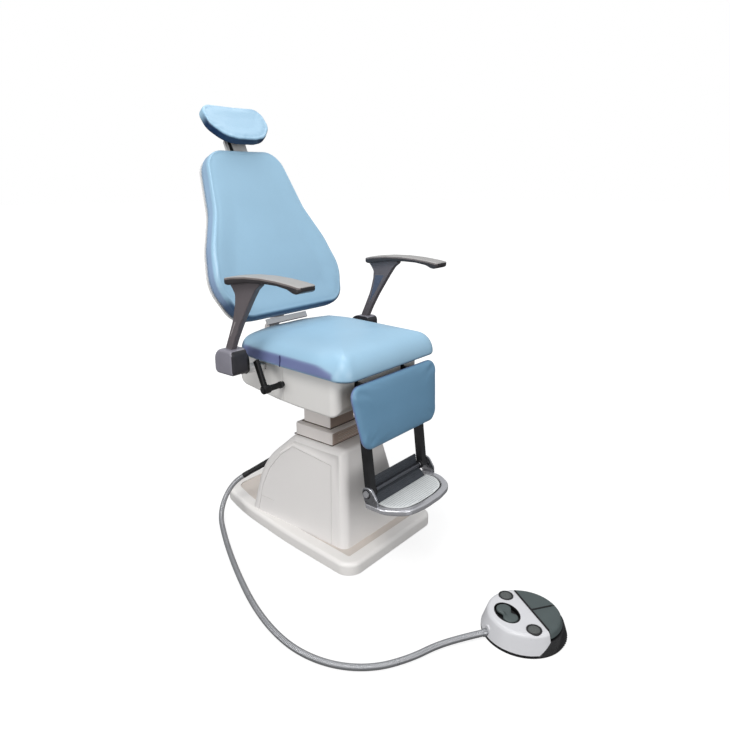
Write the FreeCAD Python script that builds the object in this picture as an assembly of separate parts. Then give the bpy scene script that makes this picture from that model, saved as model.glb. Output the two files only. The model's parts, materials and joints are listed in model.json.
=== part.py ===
import FreeCAD, Part
import os, math

os.makedirs("parts", exist_ok=True)
V = FreeCAD.Vector

# ---------------------------------------------------------------- driving dimensions (mm)
# Frame: origin on the floor under the lift and swivel axis, +Z up, the sitter faces -Y.
BASE_FRONT, BASE_REAR, BASE_H = -290.0, 452.0, 42.0
BASE_RECESS_Z = 38.0                      # shallow recess inside the raised border
PED_TOP, PED_W0, PED_W1 = 342.0, 165.0, 100.0
PED_F0, PED_F1 = -213.0, -157.0           # front face, bottom and top
COLLAR_TOP, COLLAR_X, COLLAR_Y = 384.0, 90.0, 95.0
COL_IN, COL_WALL = 62.0, 6.0              # moving column, half size and wall
COL_OUT_IN, COL_OUT = 66.0, 72.0          # fixed column, inner and outer half size
COL_Z0, COL_Z1 = 140.0, 508.0             # moving column at rest
SEAT_TILT = 1.5                           # seat rises this much to the rear (deg)
SEAT_PIV = (-286.0, 621.0)
CUSH_T = 76.0
BACK_TILT, BACK_O = 24.58, (139.0, 749.0)
BACK_CUSH_T = 56.0
HEAD_TILT, HEAD_O = 38.0, (396.0, 1373.0)
H_AX = (252.0, 598.0)                     # backrest hinge (y, z)
L_AX = (-262.0, 585.0)                    # leg rest hinge
LEG_TILT = 8.5
F_AX = (-293.8, 262.0)                    # footplate hinge
PLX0, PLX1 = 110.0, 122.0                 # seat side plates, inner and outer face
A_AX = (104.0, 650.0)                     # armrest hinge
B_AX = (5.0, 563.0)                       # lock lever shaft
T_PT = (-256.0, 66.0, 634.0)              # lock lever free end
ARM_X = 323.0
HOSE_D = 18.0
FC = (-95.0, -790.0)                      # foot control centre
FC_R0, FC_R1, FC_H = 112.0, 96.0, 57.0
FIT = 0.05                                # radial play of running fits

# ---------------------------------------------------------------- helpers
def save(name, *shapes):
    solids = []
    for s in shapes:
        solids += s.Solids
    for s in solids:
        if not s.isValid() or s.Volume <= 0:
            print("BAD SOLID", name, s.isValid(), s.Volume)
    out = solids[0] if len(solids) == 1 else Part.Compound(solids)
    out.exportStep("parts/%s.step" % name)
    b = out.BoundBox
    print("%-24s %2d solids  x %.0f..%.0f  y %.0f..%.0f  z %.0f..%.0f" % (
        name, len(solids), b.XMin, b.XMax, b.YMin, b.YMax, b.ZMin, b.ZMax))

def box(x0, y0, z0, x1, y1, z1):
    return Part.makeBox(x1 - x0, y1 - y0, z1 - z0, V(x0, y0, z0))

def cyl(p, d, r, h):
    return Part.makeCylinder(r, h, V(*p), V(*d))

def cylx(y, z, r, x0, x1):
    return cyl((min(x0, x1), y, z), (1, 0, 0), r, abs(x1 - x0))

def cylz(x, y, r, z0, z1):
    return cyl((x, y, z0), (0, 0, 1), r, z1 - z0)

def rwire(pts, place):
    """Closed outline with rounded corners; pts are (a, b) or (a, b, radius)."""
    n = len(pts)
    cut = []
    for i in range(n):
        p0, p1, p2 = pts[i - 1], pts[i], pts[(i + 1) % n]
        r = p1[2] if len(p1) > 2 else 0.0
        a = V(p0[0] - p1[0], p0[1] - p1[1], 0); b = V(p2[0] - p1[0], p2[1] - p1[1], 0)
        la, lb = a.Length, b.Length
        a.normalize(); b.normalize()
        c = V(p1[0], p1[1], 0)
        if r <= 0:
            cut.append((c, c, None)); continue
        ang = a.getAngle(b)
        t = min(r / math.tan(ang / 2), 0.49 * la, 0.49 * lb)
        rr = t * math.tan(ang / 2)
        bis = a + b; bis.normalize()
        mid = c + bis * (rr / math.sin(ang / 2) - rr)
        cut.append((c + a * t, c + b * t, mid))
    edges = []
    for i in range(n):
        s, e, m = cut[i]
        if m is not None:
            edges.append(Part.Arc(place(s), place(m), place(e)).toShape())
        nxt = cut[(i + 1) % n][0]
        if (nxt - e).Length > 1e-6:
            edges.append(Part.LineSegment(place(e), place(nxt)).toShape())
    return Part.Wire(edges)

def prism(pts, axis, a0, a1):
    if axis == "x":
        place = lambda q: V(a0, q.x, q.y); d = V(a1 - a0, 0, 0)
    elif axis == "y":
        place = lambda q: V(q.x, a0, q.y); d = V(0, a1 - a0, 0)
    else:
        place = lambda q: V(q.x, q.y, a0); d = V(0, 0, a1 - a0)
    return Part.Face(rwire(pts, place)).extrude(d)

def sym(half):
    """Mirror a right-hand half outline (x > 0, listed once round) to a whole one."""
    return list(half) + [(-p[0],) + tuple(p[1:]) for p in reversed(half)]

def inset(pts, d):
    """Outline moved inwards by d (polygon offset by its straight sides)."""
    n = len(pts)
    area = sum(pts[i - 1][0] * pts[i][1] - pts[i][0] * pts[i - 1][1] for i in range(n))
    sg = 1.0 if area > 0 else -1.0
    lines = []
    for i in range(n):
        p, q = pts[i], pts[(i + 1) % n]
        dx, dy = q[0] - p[0], q[1] - p[1]
        l = math.hypot(dx, dy)
        nx, ny = -dy / l * sg, dx / l * sg
        lines.append((p[0] + nx * d, p[1] + ny * d, dx / l, dy / l))
    out = []
    for i in range(n):
        x1, y1, a1, b1 = lines[i - 1]
        x2, y2, a2, b2 = lines[i]
        den = a1 * b2 - b1 * a2
        k = ((x2 - x1) * b2 - (y2 - y1) * a2) / den
        r = pts[i][2] if len(pts[i]) > 2 else 0.0
        out.append((x1 + a1 * k, y1 + b1 * k, max(r - d, 0.5) if r else 0.0))
    return out

def fillet(shape, test, r):
    """Round the edges whose middle passes the test, with the largest radius that works."""
    for k in (1.0, 0.8, 0.6, 0.4):
        ed = [e for e in shape.Edges if test(e)]
        if not ed:
            print("no edges to round"); return shape
        try:
            s = shape.makeFillet(r * k, ed)
            if s.isValid() and s.Volume > 0:
                if k < 1:
                    print("fillet reduced to", r * k)
                return s
        except Exception:
            pass
    print("fillet skipped", r)
    return shape

def mid(e):
    return e.valueAt((e.FirstParameter + e.LastParameter) / 2)

def mirror(s):
    return s.mirror(V(0, 0, 0), V(1, 0, 0))

def tilted(s, deg, o):
    """Local frame (x, depth, height) to the chair frame: lean back by deg, then move to o = (y, z)."""
    s = s.copy()
    s.rotate(V(0, 0, 0), V(1, 0, 0), -deg)
    s.translate(V(0, o[0], o[1]))
    return s

# ---------------------------------------------------------------- base
base_half = [(232, BASE_FRONT, 50), (208, 20, 2000), (172, 270, 1000), (118, BASE_REAR, 90)]
base_out = sym(base_half)
floor_plate = prism(inset(base_out, 7), "z", 0, 8)
save("floor_plate", floor_plate)

cov = prism(base_out, "z", 1, BASE_H)
cov = fillet(cov, lambda e: abs(e.BoundBox.ZMin - BASE_H) < 1e-4, 14)
cov = cov.cut(prism(inset(base_out, 44), "z", BASE_RECESS_Z, BASE_H + 5))
cov = cov.cut(prism(inset(base_out, 5), "z", 0, 32))
hole = prism(sym([(76, -76, 8), (76, 76, 8)]), "z", 0, 60)
cov = cov.cut(hole)

# ---------------------------------------------------------------- pedestal
def ped(i):
    z0 = BASE_RECESS_Z
    zt = PED_TOP - i
    side = [(PED_F0 + i, z0), (PED_F1 + i, zt), (75 - i * .7, zt, 25), (215 - i, 215 - i * .7, 200), (240 - i, z0)]
    front = [(-PED_W0 + i, z0), (PED_W0 - i, z0), (PED_W1 - i, zt), (-PED_W1 + i, zt)]
    s = prism(side, "x", -300, 300).common(prism(front, "y", -400, 400))
    def rising(e):
        b = e.BoundBox
        m = mid(e)
        return b.ZLength > 12 and abs(m.x) > 80
    s = fillet(s, rising, 28 - i)
    s = fillet(s, lambda e: e.BoundBox.ZMin > zt - 0.01, 13 - i)
    return s

ped_out = ped(0)
save("base_cover", cov.cut(ped_out))
ped_shell = ped_out.cut(ped(4)).cut(box(-200, -300, 30, 200, 300, BASE_RECESS_Z))
# square opening for the column under the collar
ped_shell = ped_shell.cut(prism(sym([(76, -76, 8), (76, 66, 8)]), "z", 300, 400))
# flush access panels, one each side, in a shallow rebate
panel_pts = [(-154, 36), (-109, 285, 4), (72, 301, 12), (126, 258, 60), (172, 196, 80), (193, 130, 60), (199, 36)]
skin = ped_out.cut(ped(2.5))
rebate = prism(panel_pts, "x", -300, 300)
pan = prism(inset(panel_pts, 1.3), "x", -300, 300).common(skin)
pan = pan.cut(box(-300, 128, 94.3, 300, 230, 95.8).cut(ped(1.2)))
ped_shell = ped_shell.cut(rebate.common(skin))

# hose sleeve through the rear right corner
hd = V(-0.605, 0.625, -0.494); hd.normalize()
hp = V(-110, 226, 189)
sl0, sl1 = hp - hd * 58, hp + hd * 62
sleeve = cyl(sl0, hd, 11.5, (sl1 - sl0).Length)
ped_shell = ped_shell.cut(sleeve)
# mains inlet in the rear face, low down
inlet = box(52, 206, 66, 82, 242, 92)
ped_shell = ped_shell.cut(inlet)
inlet = inlet.cut(prism([(56, 70, 1), (78, 70, 1), (78, 84, 4), (73, 88, 1), (61, 88, 1), (56, 84, 4)], "y", 227, 260))
for px in (61, 67, 73):
    inlet = inlet.fuse(box(px - 1, 225, 76, px + 1, 239, 81))
save("pedestal_cover", ped_shell)
save("side_panels", pan)
save("hose_sleeve", sleeve)
save("mains_inlet", inlet.removeSplitter())

collar = prism(sym([(COLLAR_X, -COLLAR_Y, 14), (COLLAR_X, COLLAR_Y - 18, 14)]), "z", PED_TOP, COLLAR_TOP)
collar = fillet(collar, lambda e: abs(e.BoundBox.ZMin - COLLAR_TOP) < 1e-4, 4)
collar = collar.cut(prism(sym([(64, -64, 8), (64, 64, 8)]), "z", 300, 400))
# sunk panel with two bars on the front face
collar = collar.cut(box(-60, -COLLAR_Y - 1, 350, 60, -COLLAR_Y + 2.5, 376))
collar = collar.fuse(box(-60, -COLLAR_Y, 353.5, 60, -COLLAR_Y + 2.5, 360)).fuse(box(-60, -COLLAR_Y, 366, 60, -COLLAR_Y + 2.5, 372.5)).removeSplitter()
save("column_collar", collar)

# ---------------------------------------------------------------- lift column
sq = lambda a, r: sym([(a, -a, r), (a, a, r)])
outer_tube = prism(sq(COL_OUT, 8), "z", 8, 336).cut(prism(sq(COL_OUT_IN, 4), "z", 0, 400))
save("column_outer_tube", outer_tube)
pads = []
for z0, z1 in ((252, 284), (296, 328)):
    for s in (1, -1):
        a, b = sorted((s * (COL_IN + FIT), s * COL_OUT_IN))
        pads.append(box(a, -22, z0, b, 22, z1))
        pads.append(box(-22, a, z0, 22, b, z1))
save("glide_pads", *pads)
act = cylz(0, 0, 48, 8, 36).fuse(cylz(0, 0, 24, 36, 330)).cut(cylz(0, 0, 14 + FIT, 44, 400)).removeSplitter()
save("lift_actuator_body", act)
save("lift_actuator_rod", cylz(0, 0, 14, 150, COL_Z1))
inner_tube = prism(sq(COL_IN, 8), "z", COL_Z0, COL_Z1).cut(prism(sq(COL_IN - COL_WALL, 4), "z", 0, 600))
save("column_inner_tube", inner_tube)
ring_lo = cylz(0, 0, 96, COL_Z1, 518).cut(cylz(0, 0, 20 + FIT, 500, 530))
save("swivel_ring_lower", ring_lo)
ring_up = cylz(0, 0, 96, 518.3, 530).fuse(cylz(0, 0, 20, 509, 520)).removeSplitter()
save("swivel_ring_upper", ring_up)
power = fillet(box(-62, COL_OUT, 42.5, 62, 168, 138), lambda e: e.BoundBox.YLength > 50, 6)
save("power_unit", power)

# ---------------------------------------------------------------- seat frame and covers
def seat_top(y, dz=0.0):
    return SEAT_PIV[1] + (y - SEAT_PIV[0]) * math.tan(math.radians(SEAT_TILT)) + dz

bt = -10.0 / math.cos(math.radians(SEAT_TILT))       # underside of the seat board
plate_pts = [(-216, seat_top(-216, bt), 3), (-216, L_AX[1] + 8), (L_AX[0], L_AX[1] + 8), (L_AX[0], L_AX[1] - 8), (-206, 566, 20),
             (-180, 527, 20), (170, 527, 40), (269, 582, 10), (269, 614, 10), (236, 616, 10), (206, seat_top(206, bt), 10)]
def side_plate(x0, x1):
    s = prism(plate_pts, "x", x0, x1).fuse(cylx(L_AX[0], L_AX[1], 11, x0, x1)).removeSplitter()
    s = s.cut(cylx(L_AX[0], L_AX[1], 7, x0 - 5, x1 + 5))
    s = s.cut(cylx(H_AX[0], H_AX[1], 10, x0 - 5, x1 + 5))
    return s
pr = side_plate(-PLX1, -PLX0).cut(cylx(B_AX[0], B_AX[1], 7 + FIT, -140, -90))
pl = side_plate(PLX0, PLX1)
save("seat_side_plates", pr, pl)
cross = box(-PLX0, -112, 530, PLX0, 112, 538)
save("seat_cross_plate", cross)
save("hinge_shafts", cylx(H_AX[0], H_AX[1], 10, -126, 126), cylx(L_AX[0], L_AX[1], 7, -151, 151))

def seat_tub(i):
    side = [(-222 + i, 640), (-222 + i, 497 + i, 30 - i), (-60, 499 + i), (216, 514 + i, 60), (262 - i, 541 + i, 20), (262 - i, 640)]
    plan = sym([(208 - i, -222 + i, 30 - i), (204 - i, 40), (178 - i, 262 - i, 50 - i)])
    return prism(side, "x", -300, 300).common(prism(plan, "z", 480, 660))
tub = seat_tub(0)
tub = fillet(tub, lambda e: e.BoundBox.ZMax < 530 and abs(mid(e).x) > 150, 9)
tub = tub.cut(seat_tub(4))
# open top: just under the cushion, stepped down for the hinge at the rear
top_cut = prism([(-300, seat_top(-300, -1)), (205, seat_top(205, -1), 10), (228, 566, 10), (300, 556), (300, 700), (-300, 700)], "x", -300, 300)
tub = tub.cut(top_cut)
tub = tub.cut(cylz(0, 0, 101, 480, 524))
tub = tub.cut(box(-PLX1 - 4, -240, 550, PLX1 + 4, -210, 640).cut(box(-PLX0 + 4, -240, 500, PLX0 - 4, -200, 700)))
tub = tub.cut(box(-300, 88, 593, 300, 140, 614.5))
tub = tub.cut(cylx(B_AX[0], B_AX[1], 9, -260, -150))
for n, y0, y1 in (("seat_cover_front", -300, 4.6), ("seat_cover_rear", 5.4, 400)):
    save(n, tub.common(box(-300, y0, 400, 300, y1, 700)))

def on_seat(s):
    s = s.copy()
    s.rotate(V(0, SEAT_PIV[0], SEAT_PIV[1]), V(1, 0, 0), SEAT_TILT)
    return s
z_c = SEAT_PIV[1]
board = on_seat(prism(sym([(190, -210, 30), (176, 170, 40), (110, 205, 60)]), "z", z_c - 10, z_c))
save("seat_board", board)
cush_half = [(240, -285, 50), (239, 100, 900), (222, 198, 62), (90, 240, 200)]
cush = prism(sym(cush_half), "z", z_c, z_c + CUSH_T)
cush = fillet(cush, lambda e: abs(e.BoundBox.ZMin - z_c - CUSH_T) < 1e-4, 38)
cush = fillet(cush, lambda e: abs(e.BoundBox.ZMax - z_c) < 1e-4, 8)
# the top falls away towards the backrest
cush = cush.cut(prism([(100, z_c + CUSH_T), (300, z_c + CUSH_T - 16), (300, z_c + 200), (100, z_c + 200)], "x", -300, 300))
save("seat_cushion", on_seat(cush))

# armrest carriers: a flat bar from the side plate out under the cushion, and an upright cheek
def carrier():
    bar = box(PLX1, 92, 596, 276, 136, 612)
    cheek = prism([(84, 598, 14), (148, 598, 16), (148, 672, 30), (106, 672, 16), (84, 650, 20)], "x", 268, 292)
    s = bar.fuse(cheek).removeSplitter()
    return s.cut(cylx(A_AX[0], A_AX[1], 9, 260, 300))
c_l = carrier()
save("armrest_carriers", mirror(c_l), c_l)
pin_l = cylx(A_AX[0], A_AX[1], 9, 266, 344)
save("armrest_pins", mirror(pin_l), pin_l)

# linear drives under the seat, for the backrest and the leg rest
def drive(x, y0, y1, y2):
    b = cyl((x, y0, 566), (0, 1, 0), 17, y1 - y0) if y1 > y0 else cyl((x, y1, 566), (0, 1, 0), 17, y0 - y1)
    r = cyl((x, min(y1, y2), 566), (0, 1, 0), 8, abs(y2 - y1))
    m = box(x - 17, min(y0, y0 + 42 * (1 if y1 > y0 else -1)), 540, x + 17, max(y0, y0 + 42 * (1 if y1 > y0 else -1)), 566)
    return b.fuse(r).fuse(m).removeSplitter()
save("seat_drives", drive(34, -20, 120, 206), drive(-34, 60, -90, -196))

# ---------------------------------------------------------------- swivel lock lever, right side
bolt = prism([(8 * math.cos(math.radians(60 * i)) + B_AX[0], 8 * math.sin(math.radians(60 * i)) + B_AX[1]) for i in range(6)], "x", -291, -286)
save("lock_lever_shaft", cylx(B_AX[0], B_AX[1], 7, -106, -287).fuse(cylx(B_AX[0], B_AX[1], 11, -220, -213)).fuse(bolt).removeSplitter())
foot = V(-278, B_AX[0], B_AX[1])
lean = V(*T_PT) - foot
ln = lean.Length
arm = Part.makeCone(9.5, 8.0, ln, foot, lean).fuse(Part.makeSphere(8.0, V(*T_PT))).fuse(cylx(B_AX[0], B_AX[1], 12, -286, -270)).removeSplitter()
arm = arm.cut(cylx(B_AX[0], B_AX[1], 7, -300, -240))
save("lock_lever_arm", arm)

# ---------------------------------------------------------------- backrest
back_half = [(239, 0, 85), (292, 132, 130), (261, 250, 260), (203, 372, 220), (158, 584, 80)]
back_out = sym(back_half)
bc = prism(back_out, "y", 0, BACK_CUSH_T)
bc = fillet(bc, lambda e: abs(e.BoundBox.YMax) < 1e-4, 26)
bc = fillet(bc, lambda e: abs(e.BoundBox.YMin - BACK_CUSH_T) < 1e-4, 12)
# pocket for the headrest slide, open to the rear, and a slot for the stem in the top edge
bc = bc.cut(box(-61, 23.5, 395, 61, 80, 561)).cut(box(-48, 25.5, 500, 48, 36.5, 700))
save("back_cushion", tilted(bc, BACK_TILT, BACK_O))
bp = prism(inset(back_out, 26), "y", BACK_CUSH_T, 62)
save("back_panel", tilted(bp, BACK_TILT, BACK_O))
bs = prism(inset(back_out, 7), "y", BACK_CUSH_T, 66)
bs = fillet(bs, lambda e: abs(e.BoundBox.YMin - 66) < 1e-4, 6)
hump = prism(inset(back_out, 58), "y", 60, 88)
hump = fillet(hump, lambda e: abs(e.BoundBox.YMin - 88) < 1e-4, 18)
bs = bs.fuse(hump).removeSplitter()
bs = bs.cut(prism(inset(back_out, 12), "y", 40, 62)).cut(prism(inset(back_out, 68), "y", 50, 83.5))
save("back_shell", tilted(bs, BACK_TILT, BACK_O))
sock = box(-60, 24, 430, 60, BACK_CUSH_T, 560).cut(box(-45 - FIT, 27 - FIT, 380, 45 + FIT, 35 + FIT, 600))
save("headrest_socket", tilted(sock, BACK_TILT, BACK_O))

def bpt(s, t):
    a = math.radians(BACK_TILT)
    return (BACK_O[0] + s * math.sin(a) + t * math.cos(a), BACK_O[1] + s * math.cos(a) - t * math.sin(a))
brk_pts = [(258, 600), (268, 672, 8), (238, 704, 14), bpt(18, 88), bpt(150, 88), bpt(150, 100) + (6,), bpt(18, 100) + (14,), (253, 711, 14), (284, 680, 14), (276, 600)]
# narrow upright web between the hinge barrel and the flange behind the back panel
web = prism(brk_pts, "x", -63, 63)
for x0, x1 in ((24, 80), (-80, -24)):
    web = web.cut(box(x0, 200, 617, x1, 320, 722))
brk = web.fuse(cylx(H_AX[0], H_AX[1], 18, -107, 107)).removeSplitter()
brk = brk.fuse(prism([(244, 570, 7.9), (260, 570, 7.9), (260, 600), (244, 600)], "x", 24, 44)).removeSplitter()
brk = brk.fuse(prism([bpt(-17, 58), bpt(-1, 58), bpt(-1, 66), bpt(-6, 66), (246, 714), (239, 703), bpt(-17, 66)], "x", -24, 24)).removeSplitter()
brk = brk.fuse(prism([bpt(-17, 58), bpt(2, 58), bpt(2, 66), bpt(-17, 66)], "x", -94, 94)).removeSplitter()
brk = brk.cut(cylx(H_AX[0], H_AX[1], 10 + FIT, -130, 130))
save("back_bracket", brk)

# ---------------------------------------------------------------- headrest
# The stem is a flat plate that slides in its socket; a tongue at its top carries the tilt pin.
G_S, G_T = 655.0, 31.0
stem = prism([(-45, 400), (45, 400), (45, 636, 14), (-45, 636, 14)], "y", 27, 35).cut(box(-32, 20, 590, -16, 50, 626))
stem = stem.fuse(box(-14, 27, 620, 14, 35, G_S)).fuse(cyl((-14, G_T, G_S), (1, 0, 0), 9, 28)).removeSplitter()
stem = stem.cut(cyl((-30, G_T, G_S), (1, 0, 0), 5, 60))
save("headrest_stem", tilted(stem, BACK_TILT, BACK_O))
gy, gz = bpt(G_S, G_T)
save("headrest_pin", cylx(gy, gz, 5, -29, 29))
head_half = [(38, -79, 60), (88, -67, 80), (134, -17, 60), (132, 67, 58)]
head_out = sym(head_half)
hc = prism(head_out, "y", 0, 31)
hc = fillet(hc, lambda e: abs(e.BoundBox.YMax) < 1e-4, 15)
save("headrest_cushion", tilted(hc, HEAD_TILT, HEAD_O))
hp_plate = tilted(prism(inset(head_out, 22), "y", 31, 37), HEAD_TILT, HEAD_O)
a = math.radians(HEAD_TILT)
rel = (gy - HEAD_O[0], gz - HEAD_O[1])
g_t = rel[0] * math.cos(a) - rel[1] * math.sin(a)
g_s = rel[0] * math.sin(a) + rel[1] * math.cos(a)
lug = prism([(35, g_s - 11), (g_t + 11, g_s - 11, 10.9), (g_t + 11, g_s + 11, 10.9), (35, g_s + 14)], "x", 15, 25)
lug = lug.cut(cylx(g_t, g_s, 5 + FIT, 0, 40))
lugs = [tilted(lug, HEAD_TILT, HEAD_O), tilted(mirror(lug), HEAD_TILT, HEAD_O)]
hp_all = hp_plate.fuse(lugs).removeSplitter()
save("headrest_plate", hp_all)

# ---------------------------------------------------------------- armrests
pad_pts = [(76, 888, 7), (86, 898, 6), (80, 906, 8), (46, 912, 60), (-15, 919, 200), (-80, 921, 300), (-140, 919, 300), (-196, 914, 200),
           (-232, 909, 4), (-232, 897, 6), (-218, 889, 5), (-208, 889, 10), (-187, 899, 30), (-142, 905, 60), (-95, 905, 100), (-20, 901, 100), (42, 890, 20), (60, 886, 10)]
post_pts = [(120, 676), (95, 730, 120), (71, 783, 200), (58, 832, 80), (56, 858, 14), (68, 876, 10), (80, 886), (80, 912), (-58, 912), (-52, 891, 8),
            (-32, 878, 30), (-13, 852, 80), (9, 819, 200), (40, 772, 200), (68, 723, 120), (90, 676)]
house_pts = [(63, 608, 10), (151, 608, 14), (151, 687, 34), (64, 687, 16)]
ARM_T = 11.0                                         # half thickness of the posts
def armrest():
    pad = prism(pad_pts, "x", ARM_X - 33, ARM_X + 33)
    pad = fillet(pad, lambda e: e.BoundBox.XLength < 0.1, 3)
    house = prism(house_pts, "x", 293.2, 352)
    house = fillet(house, lambda e: e.BoundBox.XLength < 0.1 and mid(e).x > 350, 7)
    house = house.cut(cylx(A_AX[0], A_AX[1], 9 + FIT, 280, 345))
    post = prism(post_pts, "x", ARM_X - ARM_T, ARM_X + ARM_T)
    post = post.cut(prism(pad_pts, "x", 200, 400)).cut(prism(house_pts, "x", 200, 400))
    post = max(post.Solids, key=lambda q: q.Volume)
    return house, post, pad
hl, ol, al = armrest()
for side, f in (("left", lambda q: q), ("right", mirror)):
    save("armrest_housing_" + side, f(hl))
    save("armrest_post_" + side, f(ol))
    save("armrest_pad_" + side, f(al))

# ---------------------------------------------------------------- leg rest and footplate
lg = lambda s: tilted(s, LEG_TILT, L_AX)
a = math.radians(LEG_TILT)
fd = (F_AX[0] - L_AX[0], F_AX[1] - L_AX[1])
F_T, F_S = fd[0] * math.cos(a) - fd[1] * math.sin(a), fd[0] * math.sin(a) + fd[1] * math.cos(a)
bar = prism([(-4, 0), (20, 0), (F_T + 12, F_S), (F_T - 12, F_S)], "x", 124, 148)
bar = bar.fuse(cylx(0, 0, 13, 124, 148)).fuse(cylx(F_T, F_S, 14, 124, 148)).removeSplitter()
bar = bar.cut(cylx(0, 0, 7 + FIT, 100, 200)).cut(cylx(F_T, F_S, 7 + FIT, 100, 200))
save("legrest_bars", lg(mirror(bar)), lg(bar))
LEG_T0, LEG_T1, LEG_T2 = -33.0, -12.0, -4.0           # front face, back of the pad, back of the board
leg_out = sym([(185, -182, 46), (221, 24, 38)])
lb = prism(inset(leg_out, 20), "y", LEG_T1, LEG_T2).cut(cylx(0, 0, 8.5, -300, 300))
lc = prism(leg_out, "y", LEG_T0, LEG_T1)
lc = fillet(lc, lambda e: abs(e.BoundBox.YMax - LEG_T0) < 1e-4, 15)
# clearance round the hinge hubs
for sx in (-1, 1):
    x0, x1 = sorted((sx * (PLX0 - 3), sx * 151))
    lb = lb.cut(box(x0, -20, -17, x1, 10, 60))
    lc = lc.cut(cylx(0, 0, 15, x0, x1))
save("legrest_board", lg(lb))
save("legrest_cushion", lg(lc))
print("footplate axis", F_AX, "headrest axis", (gy, gz))
fy, fz = F_AX
save("footplate_axle", cylx(fy, fz, 7, -157, 157))
# dark trough between the bars: upright rear wall, sloping floor, rounded joint
trough_pts = [(fy + 22, fz + 30, 3), (fy + 15, fz + 32, 3), (fy + 9, fz - 6, 8), (fy - 8, fz - 18, 10), (fy - 24, fz - 34, 3),
              (fy - 24, fz - 42), (fy + 2, fz - 36, 14), (fy + 18, fz - 16, 14)]
trough = prism(trough_pts, "x", -121, 121).cut(cylx(fy, fz, 7, -150, 150))
save("footplate_trough", trough)
tread_half = [(133, fy - 24), (133, fy - 62, 50), (99, fy - 107, 70), (36, fy - 117, 140)]
tread = prism(sym(tread_half), "z", fz - 42, fz - 34)
save("footplate_tread", tread)
# bright bow around the tread, carried by the end caps
rim_half = [(157, fy + 6, 4), (157, fy - 62, 68), (118, fy - 126, 90), (40, fy - 140, 160)]
rim_in = [(134, fy + 20), (134, fy - 62.2, 51), (99.6, fy - 108, 71), (36.2, fy - 118, 141)]
rim = prism(sym(rim_half), "z", fz - 50, fz - 32).cut(prism(sym(rim_in), "z", fz - 60, fz - 20))
rim = fillet(rim, lambda e: e.BoundBox.ZLength < 0.1 and mid(e).y < fy - 40, 5)
rim = rim.cut(box(-132, fy - 40, fz - 60, 132, fy + 30, fz))
lip = prism(sym(rim_in), "z", fz - 47, fz - 42).cut(prism(inset(sym(rim_in), 8), "z", fz - 60, fz)).cut(box(-131, fy - 25, fz - 60, 131, fy + 40, fz))
rim = rim.fuse(lip).removeSplitter()
save("footplate_rim", rim)
cap_pts = [(fy + 6, fz - 32), (fy + 18, fz - 8, 10), (fy + 18, fz + 18, 16), (fy - 14, fz + 24, 22), (fy - 38, fz - 10, 20), (fy - 40, fz - 32)]
cap_l = prism(cap_pts, "x", 149, 157)
cap_l = fillet(cap_l, lambda e: e.BoundBox.XLength < 0.1 and mid(e).x > 156 and mid(e).z > fz - 31, 3)
cap_l = cap_l.cut(cylx(fy, fz, 7, 140, 200))
save("footplate_caps", mirror(cap_l), cap_l)
bl = prism([(11 * math.cos(math.radians(60 * i)) + fy, 11 * math.sin(math.radians(60 * i)) + fz) for i in range(6)], "x", 157, 162)
save("footplate_bolts", mirror(bl), bl)

# ---------------------------------------------------------------- foot control
fcx, fcy = FC
e1 = V(-0.556, -0.831, 0); e1.normalize()          # along the dividing line
e2 = V(0.831, -0.556, 0); e2.normalize()           # towards the pedals
FCV = V(fcx, fcy, 0)
def fc_place(s):
    """Local frame of the foot control (x along the dividing line, y towards the pedals)."""
    m = FreeCAD.Matrix(e1.x, e2.x, 0, fcx, e1.y, e2.y, 0, fcy, 0, 0, 1, 0, 0, 0, 0, 1)
    s = s.copy()
    s.transformShape(m)
    return s
DIV = 18.0                                          # dividing line, from the centre
def cone(r0, r1, z0, z1):
    return Part.makeCone(r0, r1, z1 - z0, V(0, 0, z0))
def rr(z, d=0.0):
    return FC_R0 + (FC_R1 - FC_R0) * (z - 8) / (FC_H - 8) - d
half_w = lambda y0, y1, z0, z1: box(-200, y0, z0, 200, y1, z1)
base = cylz(0, 0, FC_R0, 0, 8)
skirt = cone(rr(8, 0.5), rr(34, 0.5), 8, 34).common(half_w(DIV + 2, 200, 0, 100))
skirt = skirt.cut(cone(rr(8, 5), rr(34, 5), 8, 34).common(half_w(DIV + 6, 200, 11, 100)))
base = base.fuse(skirt).removeSplitter()
shell = cone(FC_R0, FC_R1, 8, FC_H)
shell = fillet(shell, lambda e: abs(e.BoundBox.ZMin - FC_H) < 1e-4, 12)
shell = shell.common(half_w(-200, DIV, 0, 100))
inner = cone(rr(8, 4), rr(53, 4), 8, 53).common(half_w(-200, DIV - 3, 0, 100))
shell = shell.cut(inner)
def ellipse_prism(cx, cy, a, b, z0, z1):
    el = Part.Ellipse(V(cx, cy, z0), a, b).toShape()
    return Part.Face(Part.Wire([el])).extrude(V(0, 0, z1 - z0))
RK = (-7.0, -47.0)
well = ellipse_prism(RK[0], RK[1], 43, 31, 43, 80)
shell = shell.fuse(ellipse_prism(RK[0], RK[1], 46, 34, 40, 55).cut(ellipse_prism(RK[0], RK[1], 43, 31, 43, 80))).cut(well).removeSplitter()
BT = ((-73.0, -14.0), (73.0, -14.0))
for bx_, by_ in BT:
    shell = shell.cut(cylz(bx_, by_, 16.4, 40, 80))
bd = V(-88, 60, 0); bd.normalize()
bush_g = cyl(FCV + bd * 92 + V(0, 0, 22), bd, 12, 26)
shell_g = fc_place(shell).cut(bush_g)
save("foot_control_base", fc_place(base))
save("foot_control_shell", shell_g)
save("hose_bush", bush_g)
rock = ellipse_prism(RK[0], RK[1], 40, 28, 47.5, 59)
rock = fillet(rock, lambda e: abs(e.BoundBox.ZMin - 59) < 1e-4, 3)
save("rocker_pad", fc_place(rock))
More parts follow.
